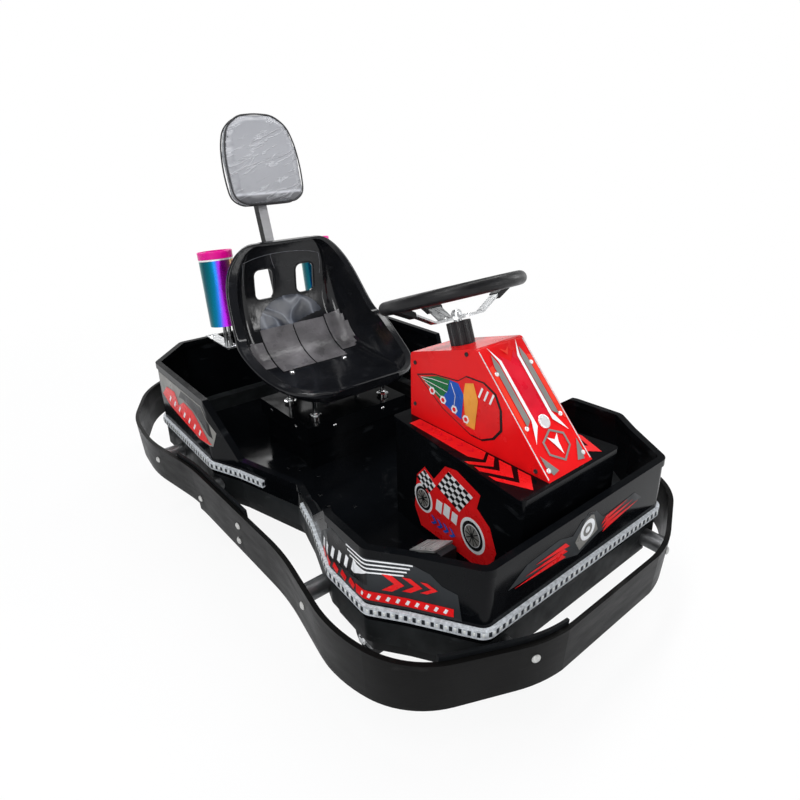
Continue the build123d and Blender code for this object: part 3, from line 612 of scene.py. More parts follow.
def make_finishes():
    """Every finish of the car, by name."""
    colour = colours()
    made = {
        "paint": Finish("gloss_black_paint", colour.body, 0.2, specular=0.09)
        .mottle(9, 0.25).polish(22, 0.08, 0.18).grain(260, 0.03, 0.0005).wear((0.06, 0.065, 0.07), 0.2),
        "satin": Finish("satin_black_paint", (0.007, 0.008, 0.009), 0.4, specular=0.1)
        .mottle(30, 0.3).polish(40, 0.3, 0.5).grain(500, 0.12, 0.0005).wear((0.10, 0.10, 0.10), 0.3),
        "tube": Finish("grey_tube_paint", (0.018, 0.020, 0.021), 0.34, specular=0.07)
        .mottle(25, 0.3).polish(35, 0.28, 0.5).grain(420, 0.1, 0.0005).wear((0.12, 0.125, 0.125), 0.35),
        "belt": Finish("belt_polymer", colour.belt, 0.36, specular=0.06)
        .mottle(7, 0.22).polish(16, 0.3, 0.42, (1, 1, 4)).grain(900, 0.14, 0.0004)
        .grain(60, 0.05, 0.002, (1, 1, 6)).wear((0.045, 0.044, 0.042), 0.4, 9),
        "steel": Finish("bright_steel", (0.52, 0.53, 0.54), 0.3, 1.0)
        .mottle(60, 0.18).polish(90, 0.2, 0.42).grain(700, 0.08, 0.0003),
        "stub": Finish("bracket_steel", (0.20, 0.205, 0.21), 0.4, 1.0)
        .mottle(40, 0.25).polish(60, 0.34, 0.5).grain(500, 0.1, 0.0004),
        "post": post_steel_with_painted_shade(),
        "chrome": Finish("chrome", (0.82, 0.83, 0.84), 0.1, 1.0).mottle(80, 0.06).polish(120, 0.07, 0.18),
        "silver": Finish("brushed_silver", (0.60, 0.61, 0.62), 0.28, 1.0)
        .mottle(18, 0.14).polish(40, 0.2, 0.4, (6, 1, 1)).grain(320, 0.12, 0.0003, (8, 1, 1)),
        "cast": Finish("cast_silver", (0.50, 0.51, 0.52), 0.36, 0.85)
        .mottle(60, 0.2).grain(500, 0.15, 0.0004),
        "bright": Finish("bright_cap", (0.84, 0.83, 0.83), 0.25, 0.35)
        .mottle(90, 0.1).polish(120, 0.18, 0.32),
        "cap": Finish("dull_cap", (0.52, 0.52, 0.50), 0.42, 0.2)
        .mottle(90, 0.2).polish(120, 0.32, 0.5).grain(600, 0.1, 0.0003),
        "pedal": Finish("worn_pedal_plate", (0.44, 0.45, 0.44), 0.4, 0.3)
        .mottle(30, 0.2).grain(500, 0.2, 0.0004).wear((0.2, 0.2, 0.2), 0.6, 26),
        "red": Finish("gloss_red", colour.console, 0.2, specular=0.16)
        .mottle(8, 0.08).polish(24, 0.16, 0.28).grain(220, 0.05, 0.0005),
        "mouth": Finish("mouth_magenta", (0.80, 0.003, 0.29), 0.3, specular=0.25)
        .mottle(14, 0.15).polish(30, 0.22, 0.36),
        "seat": Finish("moulded_gloss_black", (0.0065, 0.0070, 0.0085), 0.14, specular=0.34)
        .mottle(11, 0.3).polish(13, 0.07, 0.18).grain(300, 0.05, 0.0005).grain(9, 0.12, 0.012)
        .wear((0.04, 0.042, 0.046), 0.3, 11),
        "pads": Finish("filmed_pads", (0.105, 0.10, 0.105), 0.25, specular=0.35)
        .mottle(16, 0.5).polish(30, 0.18, 0.45).grain(70, 0.25, 0.003, (1, 2, 1)),
        "film": film_patch(),
        # Pale grey for the seat's moulding lines: a painted highlight along the edges of the moulded panels
        "moulding_line_highlight": Finish("seat_line_painted_highlight", (0.16, 0.165, 0.18), 0.25).mottle(60, 0.4).grain(400, 0.1, 0.0004),
        "cover": padded_face(),
        "mesh": mesh_band(),
        "piping": Finish("black_piping", (0.02, 0.02, 0.022), 0.5).mottle(90, 0.3).grain(900, 0.3, 0.0005),
        "grip": Finish("soft_black_grip", (0.009, 0.009, 0.010), 0.38, specular=0.25)
        .mottle(45, 0.3).polish(70, 0.3, 0.5).grain(800, 0.3, 0.0005),
        "ribbed": Finish("ribbed_sleeve", (0.012, 0.012, 0.014), 0.28, specular=0.3)
        .mottle(30, 0.3).polish(50, 0.22, 0.4).grain(500, 0.15, 0.0004),
        "tyre": Finish("tyre_rubber", (0.014, 0.014, 0.015), 0.6, specular=0.25)
        .mottle(35, 0.35).grain(600, 0.3, 0.0006).wear((0.10, 0.095, 0.09), 0.5, 20),
        "dark": Finish("matt_dark_plastic", (0.022, 0.023, 0.026), 0.5, specular=0.25)
        .mottle(40, 0.25).grain(650, 0.22, 0.0005),
        "sleeve": Finish("light_sleeve", (0.70, 0.73, 0.76), 0.22, specular=0.4)
        .mottle(160, 0.3).grain(240, 0.1, 0.0006),
        "chip_dark": Finish("chip_dark", (0.018, 0.022, 0.027), 0.3, specular=0.3)
        .mottle(200, 0.7).grain(300, 0.1, 0.0003),
        "chip_pale": Finish("chip_pale", (0.86, 0.88, 0.84), 0.3, Coat_Weight=0.4)
        .mottle(200, 0.12).grain(300, 0.1, 0.0003),
    }
    for side, sign in SIDES:
        made["rainbow_" + side] = rainbow(side, sign)
    films = {"red": colour.sticker_red, "crimson": colour.crimson, "white": colour.sticker_white,
             "black": (0.006, 0.006, 0.007), "blue": (0.008, 0.085, 0.46), "green": (0.004, 0.15, 0.04),
             "orange": (0.88, 0.36, 0.05), "bright_red": (0.86, 0.035, 0.015)}
    for name, shade in films.items():
        made["print_" + name] = sticker_film("print_" + name, shade)
    made["print_grey"] = sticker_film("print_grey", colour.sticker_grey, 0.4)
    made["print_silver"] = sticker_film("print_silver", (0.22, 0.215, 0.20), 0.35)
    return {name: finish.material for name, finish in made.items()}


NODE_FINISHES = {
    "paint": ["tub_rear", "tub_front", "tub_sills", "floor_pan", "seat_box", "seat_box_lid", "deck_box"],
    "satin": ["splice_plates", "headrest_channel", "axle_hangers", "lower_frame"],
    "tube": ["perimeter_tube"],
    "sleeve": ["light_strips"],
    "belt": ["belt_front", "belt_rear"],
    "post": ["headrest_post"],
    "stub": ["belt_brackets"],
    "steel": ["tailpipe_brackets", "rear_axle", "caster_mounts", "steering_shaft",
              "caster_fork_right", "caster_fork_left"],
    "chrome": ["seat_studs"],
    "silver": ["steering_spokes"],
    "red": ["console_sides", "console_back", "console_top", "console_front"],
    "seat": ["seat_shell"],
    "grip": ["steering_ring", "steering_grips"],
    "tyre": ["rear_tyre_right", "rear_tyre_left", "caster_tyre_right", "caster_tyre_left"],
    "cast": ["rear_rim_right", "rear_rim_left", "caster_hub_right", "caster_hub_left"],
    "dark": ["battery_block", "column_bush", "motor_block", "pedal_housing"],
    "pedal": ["pedal_plate"],
    "cover": ["headrest_cushion"],
    "rainbow_right": ["tailpipe_right"],
    "rainbow_left": ["tailpipe_left"],
}
finishes = {}


class BUMPER_OT_finish_frame(bpy.types.Operator):
    """Gives every node of the frame its finish"""
    bl_idname = "bumper.finish_frame"
    bl_label = "Frame finishes"

    def execute(self, context):
        finishes.update(make_finishes())
        for name, members in NODE_FINISHES.items():
            for node in members:
                piece = nodes[node]
                if not piece.material_slots:
                    piece.data.materials.append(None)
                for slot in piece.material_slots:
                    slot.link = "OBJECT"
                    slot.material = finishes[name]
        return {"FINISHED"}


# Headrest
HEADREST_TILT = math.radians(14)
HEADREST_FACE = Vector((0, -math.cos(HEADREST_TILT), math.sin(HEADREST_TILT)))
POST_HALF = 0.0125
# How far cloth may pull the outline in, the share of the thickness and of the outline that the pad has
# before it swells, and the half width of the mesh band round it
OUTLINE_PULL = 0.0015
FLAT_SHARE = 0.78
OUTLINE_SHARE = 0.985
BAND_HALF = 0.016
# A face of the pad belongs to the band where it looks forward or back by less than this
BAND_FACING = 0.72
VOXEL = 0.005
SWELL_PRESSURE = 4
SWELL_STEPS = 20
# How far each cord lies in front of the pad's middle
PIPING_DEPTHS = (("front", 0.0115), ("rear", -0.0125))
PIPING_INSET = 0.0035


def headrest_middle():
    low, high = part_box("headrest_cushion")
    return (low + high) / 2


def rim_points(depth, count=28):
    """Points round the cushion's outline, where straight lines that touch it from outside meet."""
    middle = headrest_middle()
    upward = HEADREST_FACE.cross(ACROSS)
    offsets = [vertex.co - middle for vertex in nodes["headrest_cushion"].data.vertices]
    corners = [Vector((offset.dot(ACROSS), offset.dot(upward))) for offset in offsets]
    ways = [way_at(index * 360 / count) for index in range(count)]
    reaches = [max(corner.dot(way) for corner in corners) for way in ways]
    outline = []
    for index, (way, reach) in enumerate(zip(ways, reaches)):
        before, far = ways[index - 1], reaches[index - 1]
        cross = before.x * way.y - before.y * way.x
        corner = Vector((far * way.y - reach * before.y, before.x * reach - way.x * far)) / cross
        corner -= corner.normalized() * PIPING_INSET
        outline.append(middle + ACROSS * corner.x + upward * corner.y + HEADREST_FACE * depth)
    return outline


def swollen(cushion, swell):
    """Lets the cushion swell as cloth under pressure. Its outline keeps its place but for a small pull."""
    before = [vertex.co.copy() for vertex in cushion.data.vertices]
    cloth = cushion.modifiers.new("Cloth", "CLOTH")
    cloth.settings.use_pressure = True
    cloth.settings.uniform_pressure_force = SWELL_PRESSURE
    cloth.settings.effector_weights.gravity = 0
    scene = bpy.context.scene
    for step in range(1, SWELL_STEPS + 1):
        scene.frame_set(step)
    stand_alone(cushion)
    bpy.ops.object.modifier_apply(modifier=cloth.name)
    scene.frame_set(1)
    for vertex, start in zip(cushion.data.vertices, before):
        moved = vertex.co - start
        crown = HEADREST_FACE * max(-swell, min(swell, moved.dot(HEADREST_FACE)))
        pull = moved - HEADREST_FACE * moved.dot(HEADREST_FACE)
        if pull.length > OUTLINE_PULL:
            pull = pull.normalized() * OUTLINE_PULL
        vertex.co = start + crown + pull


class BUMPER_OT_headrest(bpy.types.Operator):
    """Makes the padded headrest with its mesh band and piping"""
    bl_idname = "bumper.headrest"
    bl_label = "Headrest"

    def execute(self, context):
        node = nodes["headrest_cushion"]
        cushion = node.copy()
        cushion.data = node.data.copy()
        context.collection.objects.link(cushion)
        stand_alone(cushion)
        named("headrest_pad")
        with editing(cushion):
            merge_close(0.00001)
        add_modifier(cushion, "REMESH", mode="VOXEL", voxel_size=VOXEL)
        middle = headrest_middle()
        for vertex in cushion.data.vertices:
            offset = vertex.co - middle
            deep = HEADREST_FACE * offset.dot(HEADREST_FACE)
            vertex.co = middle + (offset - deep) * OUTLINE_SHARE + deep * FLAT_SHARE
        swollen(cushion, sizes().cushion_swell)
        add_modifier(cushion, "SUBSURF", levels=1, render_levels=1)
        smooth(cushion, 80)
        dressed(cushion, "cover")
        cushion.data.materials.append(finishes["mesh"])
        for face in cushion.data.polygons:
            depth = (face.center - middle).dot(HEADREST_FACE)
            if abs(face.normal.dot(HEADREST_FACE)) < BAND_FACING and abs(depth) < BAND_HALF:
                face.material_index = 1
        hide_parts("headrest_cushion")
        for name, depth in PIPING_DEPTHS:
            cord = tube_along("headrest_piping_" + name, rim_points(depth), sizes().piping_radius, True)
            dressed(cord, "piping")
        return {"FINISHED"}


# Seat
# x from, x to, y and z where a pad starts on the pan, y and z where it ends up the back
SEAT_PADS = [(-0.158, -0.1015, 0.192, 0.352, 0.262, 0.402), (-0.0975, -0.0018, 0.166, 0.347, 0.281, 0.427),
             (0.0018, 0.0975, 0.166, 0.347, 0.281, 0.427), (0.1015, 0.158, 0.192, 0.352, 0.274, 0.440)]
PAD_THICK = 0.0028
PAD_ROUND = 0.0022
# How far off the pan a pad starts before it is laid on
PAD_ABOVE = 0.004
SEAT_BOLTS = [(-0.080, 0.158), (0.080, 0.158)]
# x and z of the moulding lines up the back
SEAT_LINES = [[(-0.117, 0.603), (-0.080, 0.612), (-0.040, 0.617), (0, 0.618), (0.040, 0.616),
               (0.080, 0.610), (0.106, 0.602)],
              [(-0.039, 0.616), (-0.034, 0.596), (-0.028, 0.578)],
              [(0.106, 0.602), (0.110, 0.575), (0.108, 0.545)],
              [(-0.117, 0.603), (-0.119, 0.575), (-0.118, 0.545)]]
SLOT_MIDDLE = Vector((0.061, 0.540))
SLOT_HALF = Vector((0.0265, 0.0395))
SLOT_CORNER = 0.0155
SLOT_RIM_OUT = 0.0022
SLOT_RIM_RADIUS = 0.0016
SEAT_LINE_RADIUS = 0.0007
FILM_MIDDLE = (0.005, 0.425)
FILM_HALF = (0.098, 0.076)
FILM_THICK = 0.0005


def on_seat_back(x, z, proud=0.0):
    """A point of the seat's back, seen from the front."""
    point, outward = touch("seat_shell", (x, 0.1, z), (0, 1, 0))
    return point + outward * proud


def slot_outline(sign):
    points = []
    for degrees in range(0, 360, 15):
        way = way_at(degrees)
        corner = Vector([math.copysign(half - SLOT_CORNER, toward) for half, toward in zip(SLOT_HALF, way)])
        spot = corner + way * (SLOT_CORNER + SLOT_RIM_OUT)
        points.append(on_seat_back(sign * SLOT_MIDDLE.x + spot.x, SLOT_MIDDLE.y + spot.y, 0.0001))
    return points


def off_film(face):
    """Whether a face lies outside the lifted film, a half ellipse with a wavy lower edge."""
    across, up = face.center.x, face.center.y
    return (across / FILM_HALF[0]) ** 2 + (up / FILM_HALF[1]) ** 2 > 1 or up < 0.02 * math.sin(14 * across)


class BUMPER_OT_seat_lines(bpy.types.Operator):
    """Draws the moulding lines and slot rims of the seat, and lays the lifted film over its pads"""
    bl_idname = "bumper.seat_lines"
    bl_label = "Seat lines and film"

    def execute(self, context):
        # The thin beads are real, and their pale grey is a painted highlight
        lines = [tube_along("seat_line", [on_seat_back(x, z) for x, z in line], SEAT_LINE_RADIUS)
                 for line in SEAT_LINES]
        dressed(joined_as("seat_lines", lines), "moulding_line_highlight")
        rims = [tube_along("slot_rim", slot_outline(sign), SLOT_RIM_RADIUS, True) for side, sign in SIDES]
        dressed(joined_as("slot_rims", rims), "seat")
        film = primitive("grid", "seat_film", x_subdivisions=90, y_subdivisions=60, size=2)
        film.scale = (*FILM_HALF, 1)
        settle(film)
        pick_faces(film, off_film)
        bpy.ops.mesh.delete(type="FACE")
        bpy.ops.object.mode_set(mode="OBJECT")
        film.matrix_world = standing((FILM_MIDDLE[0], 0.2, FILM_MIDDLE[1]), (0, -1, 0), ACROSS)
        lay_on(film, "seat_shell", 0.0003)
        settle(film)
        add_modifier(film, "SOLIDIFY", thickness=FILM_THICK, offset=1)
        dressed(smooth(film, 60), "film")
        return {"FINISHED"}


class BUMPER_OT_seat_pads(bpy.types.Operator):
    """Lays the raised pads into the bend of the seat, with the bolts in front of them"""
    bl_idname = "bumper.seat_pads"
    bl_label = "Seat pads"

    def execute(self, context):
        pads = []
        for x_low, x_high, y_low, z_low, y_high, z_high in SEAT_PADS:
            start = Vector(((x_low + x_high) / 2, y_low, z_low))
            end = Vector((start.x, y_high, z_high))
            outward = ACROSS.cross(end - start).normalized()
            pad = primitive("grid", "seat_pad", x_subdivisions=12, y_subdivisions=20, size=1)
            pad.scale = (x_high - x_low, (end - start).length, 1)
            settle(pad)
            pad.matrix_world = standing((start + end) / 2 + outward * PAD_ABOVE, outward, ACROSS)
            lay_on(pad, "seat_shell", 0.0002)
            settle(pad)
            add_modifier(pad, "SOLIDIFY", thickness=PAD_THICK, offset=1)
            add_modifier(pad, "BEVEL", width=PAD_ROUND, segments=3, limit_method="ANGLE",
                         angle_limit=math.radians(60))
            pads.append(smooth(pad, 40))
        dressed(joined_as("seat_pads", pads), "pads")
        places = [stand_on("seat_shell", (x, y, 0.45), -UP) for x, y in SEAT_BOLTS]
        fasten(domed_head("seat_bolt", *SEAT_BOLT), "seat_bolts", places)
        return {"FINISHED"}


# Belt: y and z of the bolts in its sides, front part and rear part, x and z of those in its ends
BELT_BOLTS = (("belt_front", -1, [(-0.385, 0.160), (-0.112, 0.166), (-0.101, 0.123), (0.087, 0.132)],
               [(-0.190, 0.176), (0.190, 0.176)]),
              ("belt_rear", 1, [(0.269, 0.165)], [(-0.150, 0.170), (0.150, 0.170)]))


class BUMPER_OT_belt_bolts(bpy.types.Operator):
    """Sets the domed bolts in the belt"""
    bl_idname = "bumper.belt_bolts"
    bl_label = "Belt bolts"

    def execute(self, context):
        places = []
        for node, end, at_sides, at_end in BELT_BOLTS:
            places += stand_on_sides(node, at_sides)
            places += [stand_on(node, (x, end, z), (0, -end, 0)) for x, z in at_end]
        pattern = domed_head("belt_bolt", sizes().bolt_radius, BELT_BOLT_TALL)
        fasten(pattern, "belt_bolt_heads", places, "cap")
        return {"FINISHED"}


# Printed films, thin plates laid on a face. The first layer keeps this far off its node, and each of the
# others starts this many thicknesses higher
LAYER_GAP = 0.0002
LAYER_STEP = 1.4


def mm(points, side=1):
    """Points given in millimetres, in metres, turned over for the left side's sheets."""
    return [(side * a / 1000, b / 1000) for a, b in points]


def on_side(sign, outlines):
    """Outlines of y and z as they lie on a sheet that faces a side of the car."""
    return [mm(points, sign) for points in outlines]


def flat(outlines):
    return on_side(1, outlines)


def facing_side(sign):
    return standing((sign * 0.7, 0, 0), (sign, 0, 0), (0, sign, 0))


def slice_up(plate, pitch):
    """Cuts a flat plate into upright slices, so that it can follow a bend."""
    low = min(corner.co.x for corner in plate.data.vertices)
    high = max(corner.co.x for corner in plate.data.vertices)
    cuts = math.ceil((high - low) / pitch)
    with editing(plate):
        for index in range(1, cuts):
            bpy.ops.mesh.select_all(action="SELECT")
            bpy.ops.mesh.bisect(plane_co=(low + (high - low) * index / cuts, 0, 0), plane_no=(1, 0, 0))


def print_on(name, node, place, layers, pitch=0):
    """Lays plates one over the other on a node. Each layer is a finish and the outlines it fills."""
    thick = sizes().sticker_thick
    plates = []
    for level, (finish, outlines) in enumerate(layers):
        plate = flat_shape(name, outlines)
        if plate.data.polygons[0].normal.z < 0:
            with editing(plate):
                bpy.ops.mesh.flip_normals()
        if pitch:
            slice_up(plate, pitch)
        plate.matrix_world = place
        lay_on(plate, node, LAYER_GAP + level * LAYER_STEP * thick)
        # A corner that meets nothing stays at z = 0
        if max(corner.co.z for corner in plate.data.vertices) > -0.001:
            raise RuntimeError(f"{name}: a corner of layer {level} misses {node}")
        settle(plate)
        add_modifier(plate, "SOLIDIFY", thickness=thick, offset=1)
        plate.data.materials.clear()
        plate.data.materials.append(finishes[finish])
        plates.append(plate)
    return dressed(joined_as(name, plates), None)


def chequers(quad, columns, rows):
    """Every other cell of a quad whose corners are given in turn."""
    a, b, c, d = [Vector(corner) for corner in quad]

    def spot(column, row):
        low = a.lerp(b, column / columns)
        high = d.lerp(c, column / columns)
        return tuple(low.lerp(high, row / rows))

    return [[spot(i, j), spot(i + 1, j), spot(i + 1, j + 1), spot(i, j + 1)]
            for i in range(columns) for j in range(rows) if (i + j) % 2 == 0]


def dashes(start, end, count, half, lean, width):
    """A row of upright bars that lean a little."""
    middles = [Vector(start).lerp(Vector(end), index / (count - 1)) for index in range(count)]
    tip = Vector((lean, -half))
    return [bar(middle + tip, middle - tip, width) for middle in middles]


def polyline_bars(lines, width):
    return [bar(start, end, width) for line in lines for start, end in zip(line, line[1:])]


# Outlines in millimetres: y and z on the sides, x and z on the front, x and y on the deck's top
FRONT_SIDE_GROUND = [(-344, 229), (-352, 262), (-416, 315), (-512, 313), (-572, 315), (-596, 304),
                     (-612, 286), (-632, 277), (-638, 229)]
FRONT_SIDE_BLOCK = [(-351, 233), (-416, 312), (-512, 303), (-514, 262), (-436, 250)]
FRONT_SIDE_BAND = [(-486, 249), (-516, 252), (-628, 250), (-628, 235), (-516, 235), (-486, 232)]
FRONT_SIDE_DARTS = [(-534, 274, -16, 15, -13), (-560, 276, -16, 13, -11), (-584, 277, -14, 10, -9)]
PINSTRIPES = [[(-462, 309), (-515, 309.5), (-574, 313)], [(-466, 301.5), (-515, 302), (-570, 306)],
              [(-472, 294), (-515, 294.5), (-566, 299)], [(-480, 286.5), (-515, 287), (-562, 292)]]
REAR_SIDE_GROUND = [(369, 352), (94, 352), (46, 300), (60, 264), (140, 256), (362, 296)]
REAR_SIDE_ARROW = [(356, 296), (318, 326), (262, 330), (243, 301), (206, 322), (150, 318), (62, 268),
                   (124, 258), (232, 268), (309, 277)]
REAR_SIDE_BLOCK = [(236, 325), (214, 348), (96, 348), (64, 318), (58, 284), (140, 322), (206, 330)]
FRONT_SHIELD = [(-199, 272), (-157, 297), (-78, 303), (-42, 292), (-6, 323), (18, 316), (44, 290),
                (142, 297), (168, 276), (76, 262), (34, 262), (-24, 246), (-64, 258), (-123, 268)]
FRONT_PEAK = [(-34, 276), (-4, 315), (14, 309), (30, 272), (-20, 254)]
FRONT_RINGS = [(-2, 287, 20), (-2, 287, 12.5), (-2, 287, 6)]
TUB_SLICE = 0.005
FRONT_SLICE = 0.01


class BUMPER_OT_tub_prints(bpy.types.Operator):
    """Lays the films on the outside of the tub"""
    bl_idname = "bumper.tub_prints"
    bl_label = "Tub films"

    def execute(self, context):
        strokes = dashes((-374, 256), (-481, 279), 6, 12, 4, 8)
        tiles = dashes((-374, 236), (-474, 241), 5, 6, 3, 15)
        ticks = dashes((-504, 243), (-618, 243), 10, 4, 1.5, 4)
        darts = [chevron(*dart) for dart in FRONT_SIDE_DARTS]
        slashes = dashes((300, 300), (120, 276), 7, 8, 7, 6)
        for side, sign in SIDES:
            print_on("front_side_film_" + side, "tub_front", facing_side(sign), [
                ("print_grey", on_side(sign, [FRONT_SIDE_GROUND])),
                ("print_black", on_side(sign, [FRONT_SIDE_BLOCK])),
                ("print_white", on_side(sign, strokes + polyline_bars(PINSTRIPES, 2.6))),
                ("print_red", on_side(sign, tiles + [FRONT_SIDE_BAND] + darts)),
                ("print_white", on_side(sign, ticks))], TUB_SLICE)
            print_on("rear_side_film_" + side, "tub_rear", facing_side(sign), [
                ("print_silver", on_side(sign, [REAR_SIDE_GROUND])),
                ("print_black", on_side(sign, [REAR_SIDE_BLOCK])),
                ("print_red", on_side(sign, [REAR_SIDE_ARROW])),
                ("print_white", on_side(sign, slashes))], TUB_SLICE)
        wings = []
        for step in range(3):
            low = 260 + 9 * step
            wings.append([(-184 + 24 * step, low + 8), (-58 + 4 * step, low), (-70 + 4 * step, low + 11)])
            wings.append([(156 - 20 * step, low + 16), (46 - 3 * step, low - 1), (58 - 3 * step, low + 11)])
        print_on("front_film", "tub_front", standing((0, -1, 0), (0, -1, 0), ACROSS), [
            ("print_grey", flat([FRONT_SHIELD])),
            ("print_silver", flat([FRONT_PEAK])),
            ("print_red", flat(wings)),
            ("print_white", flat([circle(*ring) for ring in FRONT_RINGS]))], FRONT_SLICE)
        return {"FINISHED"}


# y, z and radius of the rings, y and z of the rest
DECK_GROUND = [(-338, 206), (-346, 282), (-372, 312), (-402, 300), (-436, 344), (-470, 352), (-535, 336),
               (-527, 306), (-562, 286), (-580, 246), (-568, 206), (-530, 186), (-496, 184), (-360, 172)]
DECK_RINGS = [(-368, 240, 30), (-518, 244, 34)]
DECK_FLAGS = [[(-346, 278), (-372, 306), (-408, 288), (-384, 258)],
              [(-412, 290), (-446, 338), (-516, 322), (-480, 272)]]
DECK_BLOCKS = [[(-412, 262), (-408, 238), (-426, 236), (-430, 262)],
               [(-436, 266), (-432, 240), (-450, 238), (-454, 266)],
               [(-460, 262), (-456, 240), (-472, 238), (-476, 262)]]
# x and y on the deck's top, on the left
DECK_TOP_STRIPES = [[(88, -315), (62, -315), (62, -492), (84, -506), (96, -480)],
                    [(113, -500), (88, -534), (64, -514), (64, -500), (88, -516), (112, -488)],
                    [(116, -528), (90, -580), (64, -552), (64, -524), (90, -550), (112, -512)],
                    [(118, -566), (94, -624), (64, -594), (64, -566), (94, -596), (116, -548)]]


class BUMPER_OT_deck_prints(bpy.types.Operator):
    """Lays the films on the deck box"""
    bl_idname = "bumper.deck_prints"
    bl_label = "Deck films"

    def execute(self, context):
        def rings(share):
            return [circle(y, z, radius * share) for y, z, radius in DECK_RINGS]

        bands = [ring for pair in zip(rings(0.82), rings(0.64)) for ring in pair]
        spokes = []
        for y, z, radius in DECK_RINGS:
            for degrees in range(0, 180, 36):
                reach = way_at(degrees) * radius * 0.56
                spokes.append(bar((y - reach.x, z - reach.y), (y + reach.x, z + reach.y), 2))
        squares = chequers(DECK_FLAGS[0], 5, 4) + chequers(DECK_FLAGS[1], 7, 6)
        arrows = [chevron(-396 - 19 * step, 210 + 1.5 * step, -11, 9, -8) for step in range(4)]
        marks = [[(x, y) for y, x in chevron(-330 - 27 * step, 76, -7, 6, -4)] for step in range(6)]
        for side, sign in SIDES:
            print_on("deck_side_film_" + side, "deck_box", facing_side(sign), [
                ("print_red", on_side(sign, [DECK_GROUND])),
                ("print_white", on_side(sign, DECK_FLAGS + rings(1) + DECK_BLOCKS)),
                ("print_black", on_side(sign, squares + bands)),
                ("print_silver", on_side(sign, rings(0.58))),
                ("print_black", on_side(sign, spokes)),
                ("print_blue", on_side(sign, arrows))])
            print_on("deck_top_film_" + side, "deck_box", standing(UP, UP, ACROSS), [
                ("print_red", on_side(sign, DECK_TOP_STRIPES)),
                ("print_crimson", on_side(sign, marks))])
        return {"FINISHED"}


# Console: its front slopes from a peak down to a foot, and v runs down the slope
SLOPE_OUT = Vector((0, -0.7345, 0.6786))
SLOPE_DOWN = Vector((0, -0.6786, -0.7345))
SLOPE_PEAK = Vector((0, -0.458, 0.563))
# x and v in millimetres. The first five have a twin on the other side of the middle
SLOPE_WHITE = [(37, 4), (27, 34), (27, 148), (43, 187), (34, 176), (20, 160), (21, 34)]
SLOPE_STRIP = [(36, 18), (29.5, 38), (29.5, 147), (42, 156), (42, 40)]
SLOPE_FIELD = [(54, 40), (44, 36), (44, 156), (54, 170)]
SLOPE_CORNER = [(26, 240), (49, 206), (49, 226), (42, 243)]
SLOPE_EDGE = [(55.6, 6), (57.8, 6), (57.8, 246), (55.6, 246)]
SLOPE_CRIMSON = [(-20, 22), (-20, 150), (20, 150), (20, 22), (0, 40)]
SLOPE_HEXAGON = [(0, 172), (29, 188), (29, 212), (0, 232), (-29, 212), (-29, 188)]
SLOPE_DART = [(-14, 184), (0, 192), (12, 184), (6, 198), (4, 220), (-5, 200)]
SLOPE_TICK = [(-11, 12), (0, 19), (11, 12), (0, 27)]
SLOPE_RIVETS = [(-45, 53), (45, 53), (-45, 157), (45, 157), (-47, 233), (47, 233)]
SLOPE_BADGE = (0, 157.5)
BADGE_PROFILE = [(0, 0), (0.0125, 0), (0.0128, 0.0014), (0.0118, 0.0022), (0.0108, 0.0020),
                 (0.0104, 0.0014), (0.006, 0.0018), (0, 0.002)]
# y and z in millimetres
CONSOLE_SCREWS = [(-436, 548), (-299, 494), (-298, 407), (-600, 389)]
CONSOLE_SHIELD = [(-303, 472), (-348, 486), (-416, 493), (-437, 508), (-480, 509), (-508, 496), (-522, 470),
                  (-525, 432), (-508, 410), (-480, 396), (-452, 396), (-376, 424)]
SHIELD_MIDDLE = Vector((-420, 455))
CONSOLE_SWEEPS = [("print_green", [(-316, 470), (-362, 485), (-396, 488), (-392, 466), (-372, 440)]),
                  ("print_blue", [(-372, 440), (-392, 466), (-396, 488), (-418, 488), (-432, 470),
                                  (-428, 420), (-402, 428)]),
                  ("print_orange", [(-432, 470), (-436, 494), (-456, 500), (-468, 470), (-462, 412),
                                    (-440, 414)])]
SWEEP_LINES = [[(-318, 471), (-350, 476), (-392, 478)], [(-322, 468), (-356, 466), (-390, 462)],
               [(-330, 464), (-360, 454), (-384, 444)], [(-400, 484), (-412, 462), (-408, 432)]]
SWEEP_RINGS = [(-350 - 30 * step, 452 - 9 * step) for step in range(4)]


def on_slope(outlines):
    """Outlines of x and v, as they lie on a sheet that faces the slope."""
    return [[(x, -v) for x, v in mm(points)] for points in outlines]


def on_both(outline):
    return [outline, [(-x, v) for x, v in outline]]


def stand_on_slope(x, v):
    start = SLOPE_PEAK + ACROSS * x / 1000 + SLOPE_DOWN * v / 1000 + SLOPE_OUT * 0.05
    return stand_on("console_front", start, -SLOPE_OUT)


def console_side_layers(sign):
    inner = [tuple(SHIELD_MIDDLE + (Vector(point) - SHIELD_MIDDLE) * 0.95) for point in CONSOLE_SHIELD]
    rings, cores = [[circle(y, z, radius, 6) for y, z in SWEEP_RINGS] for radius in (8.5, 4.5)]
    strokes = dashes((-474, 488), (-500, 484), 3, 10, 4, 4)
    layers = [("print_black", [CONSOLE_SHIELD]), ("print_red", [inner])]
    layers += [(finish, [points]) for finish, points in CONSOLE_SWEEPS]
    layers += [("print_white", polyline_bars(SWEEP_LINES, 1.1) + rings + strokes), ("print_red", cores)]
    return [(finish, on_side(sign, outlines)) for finish, outlines in layers]


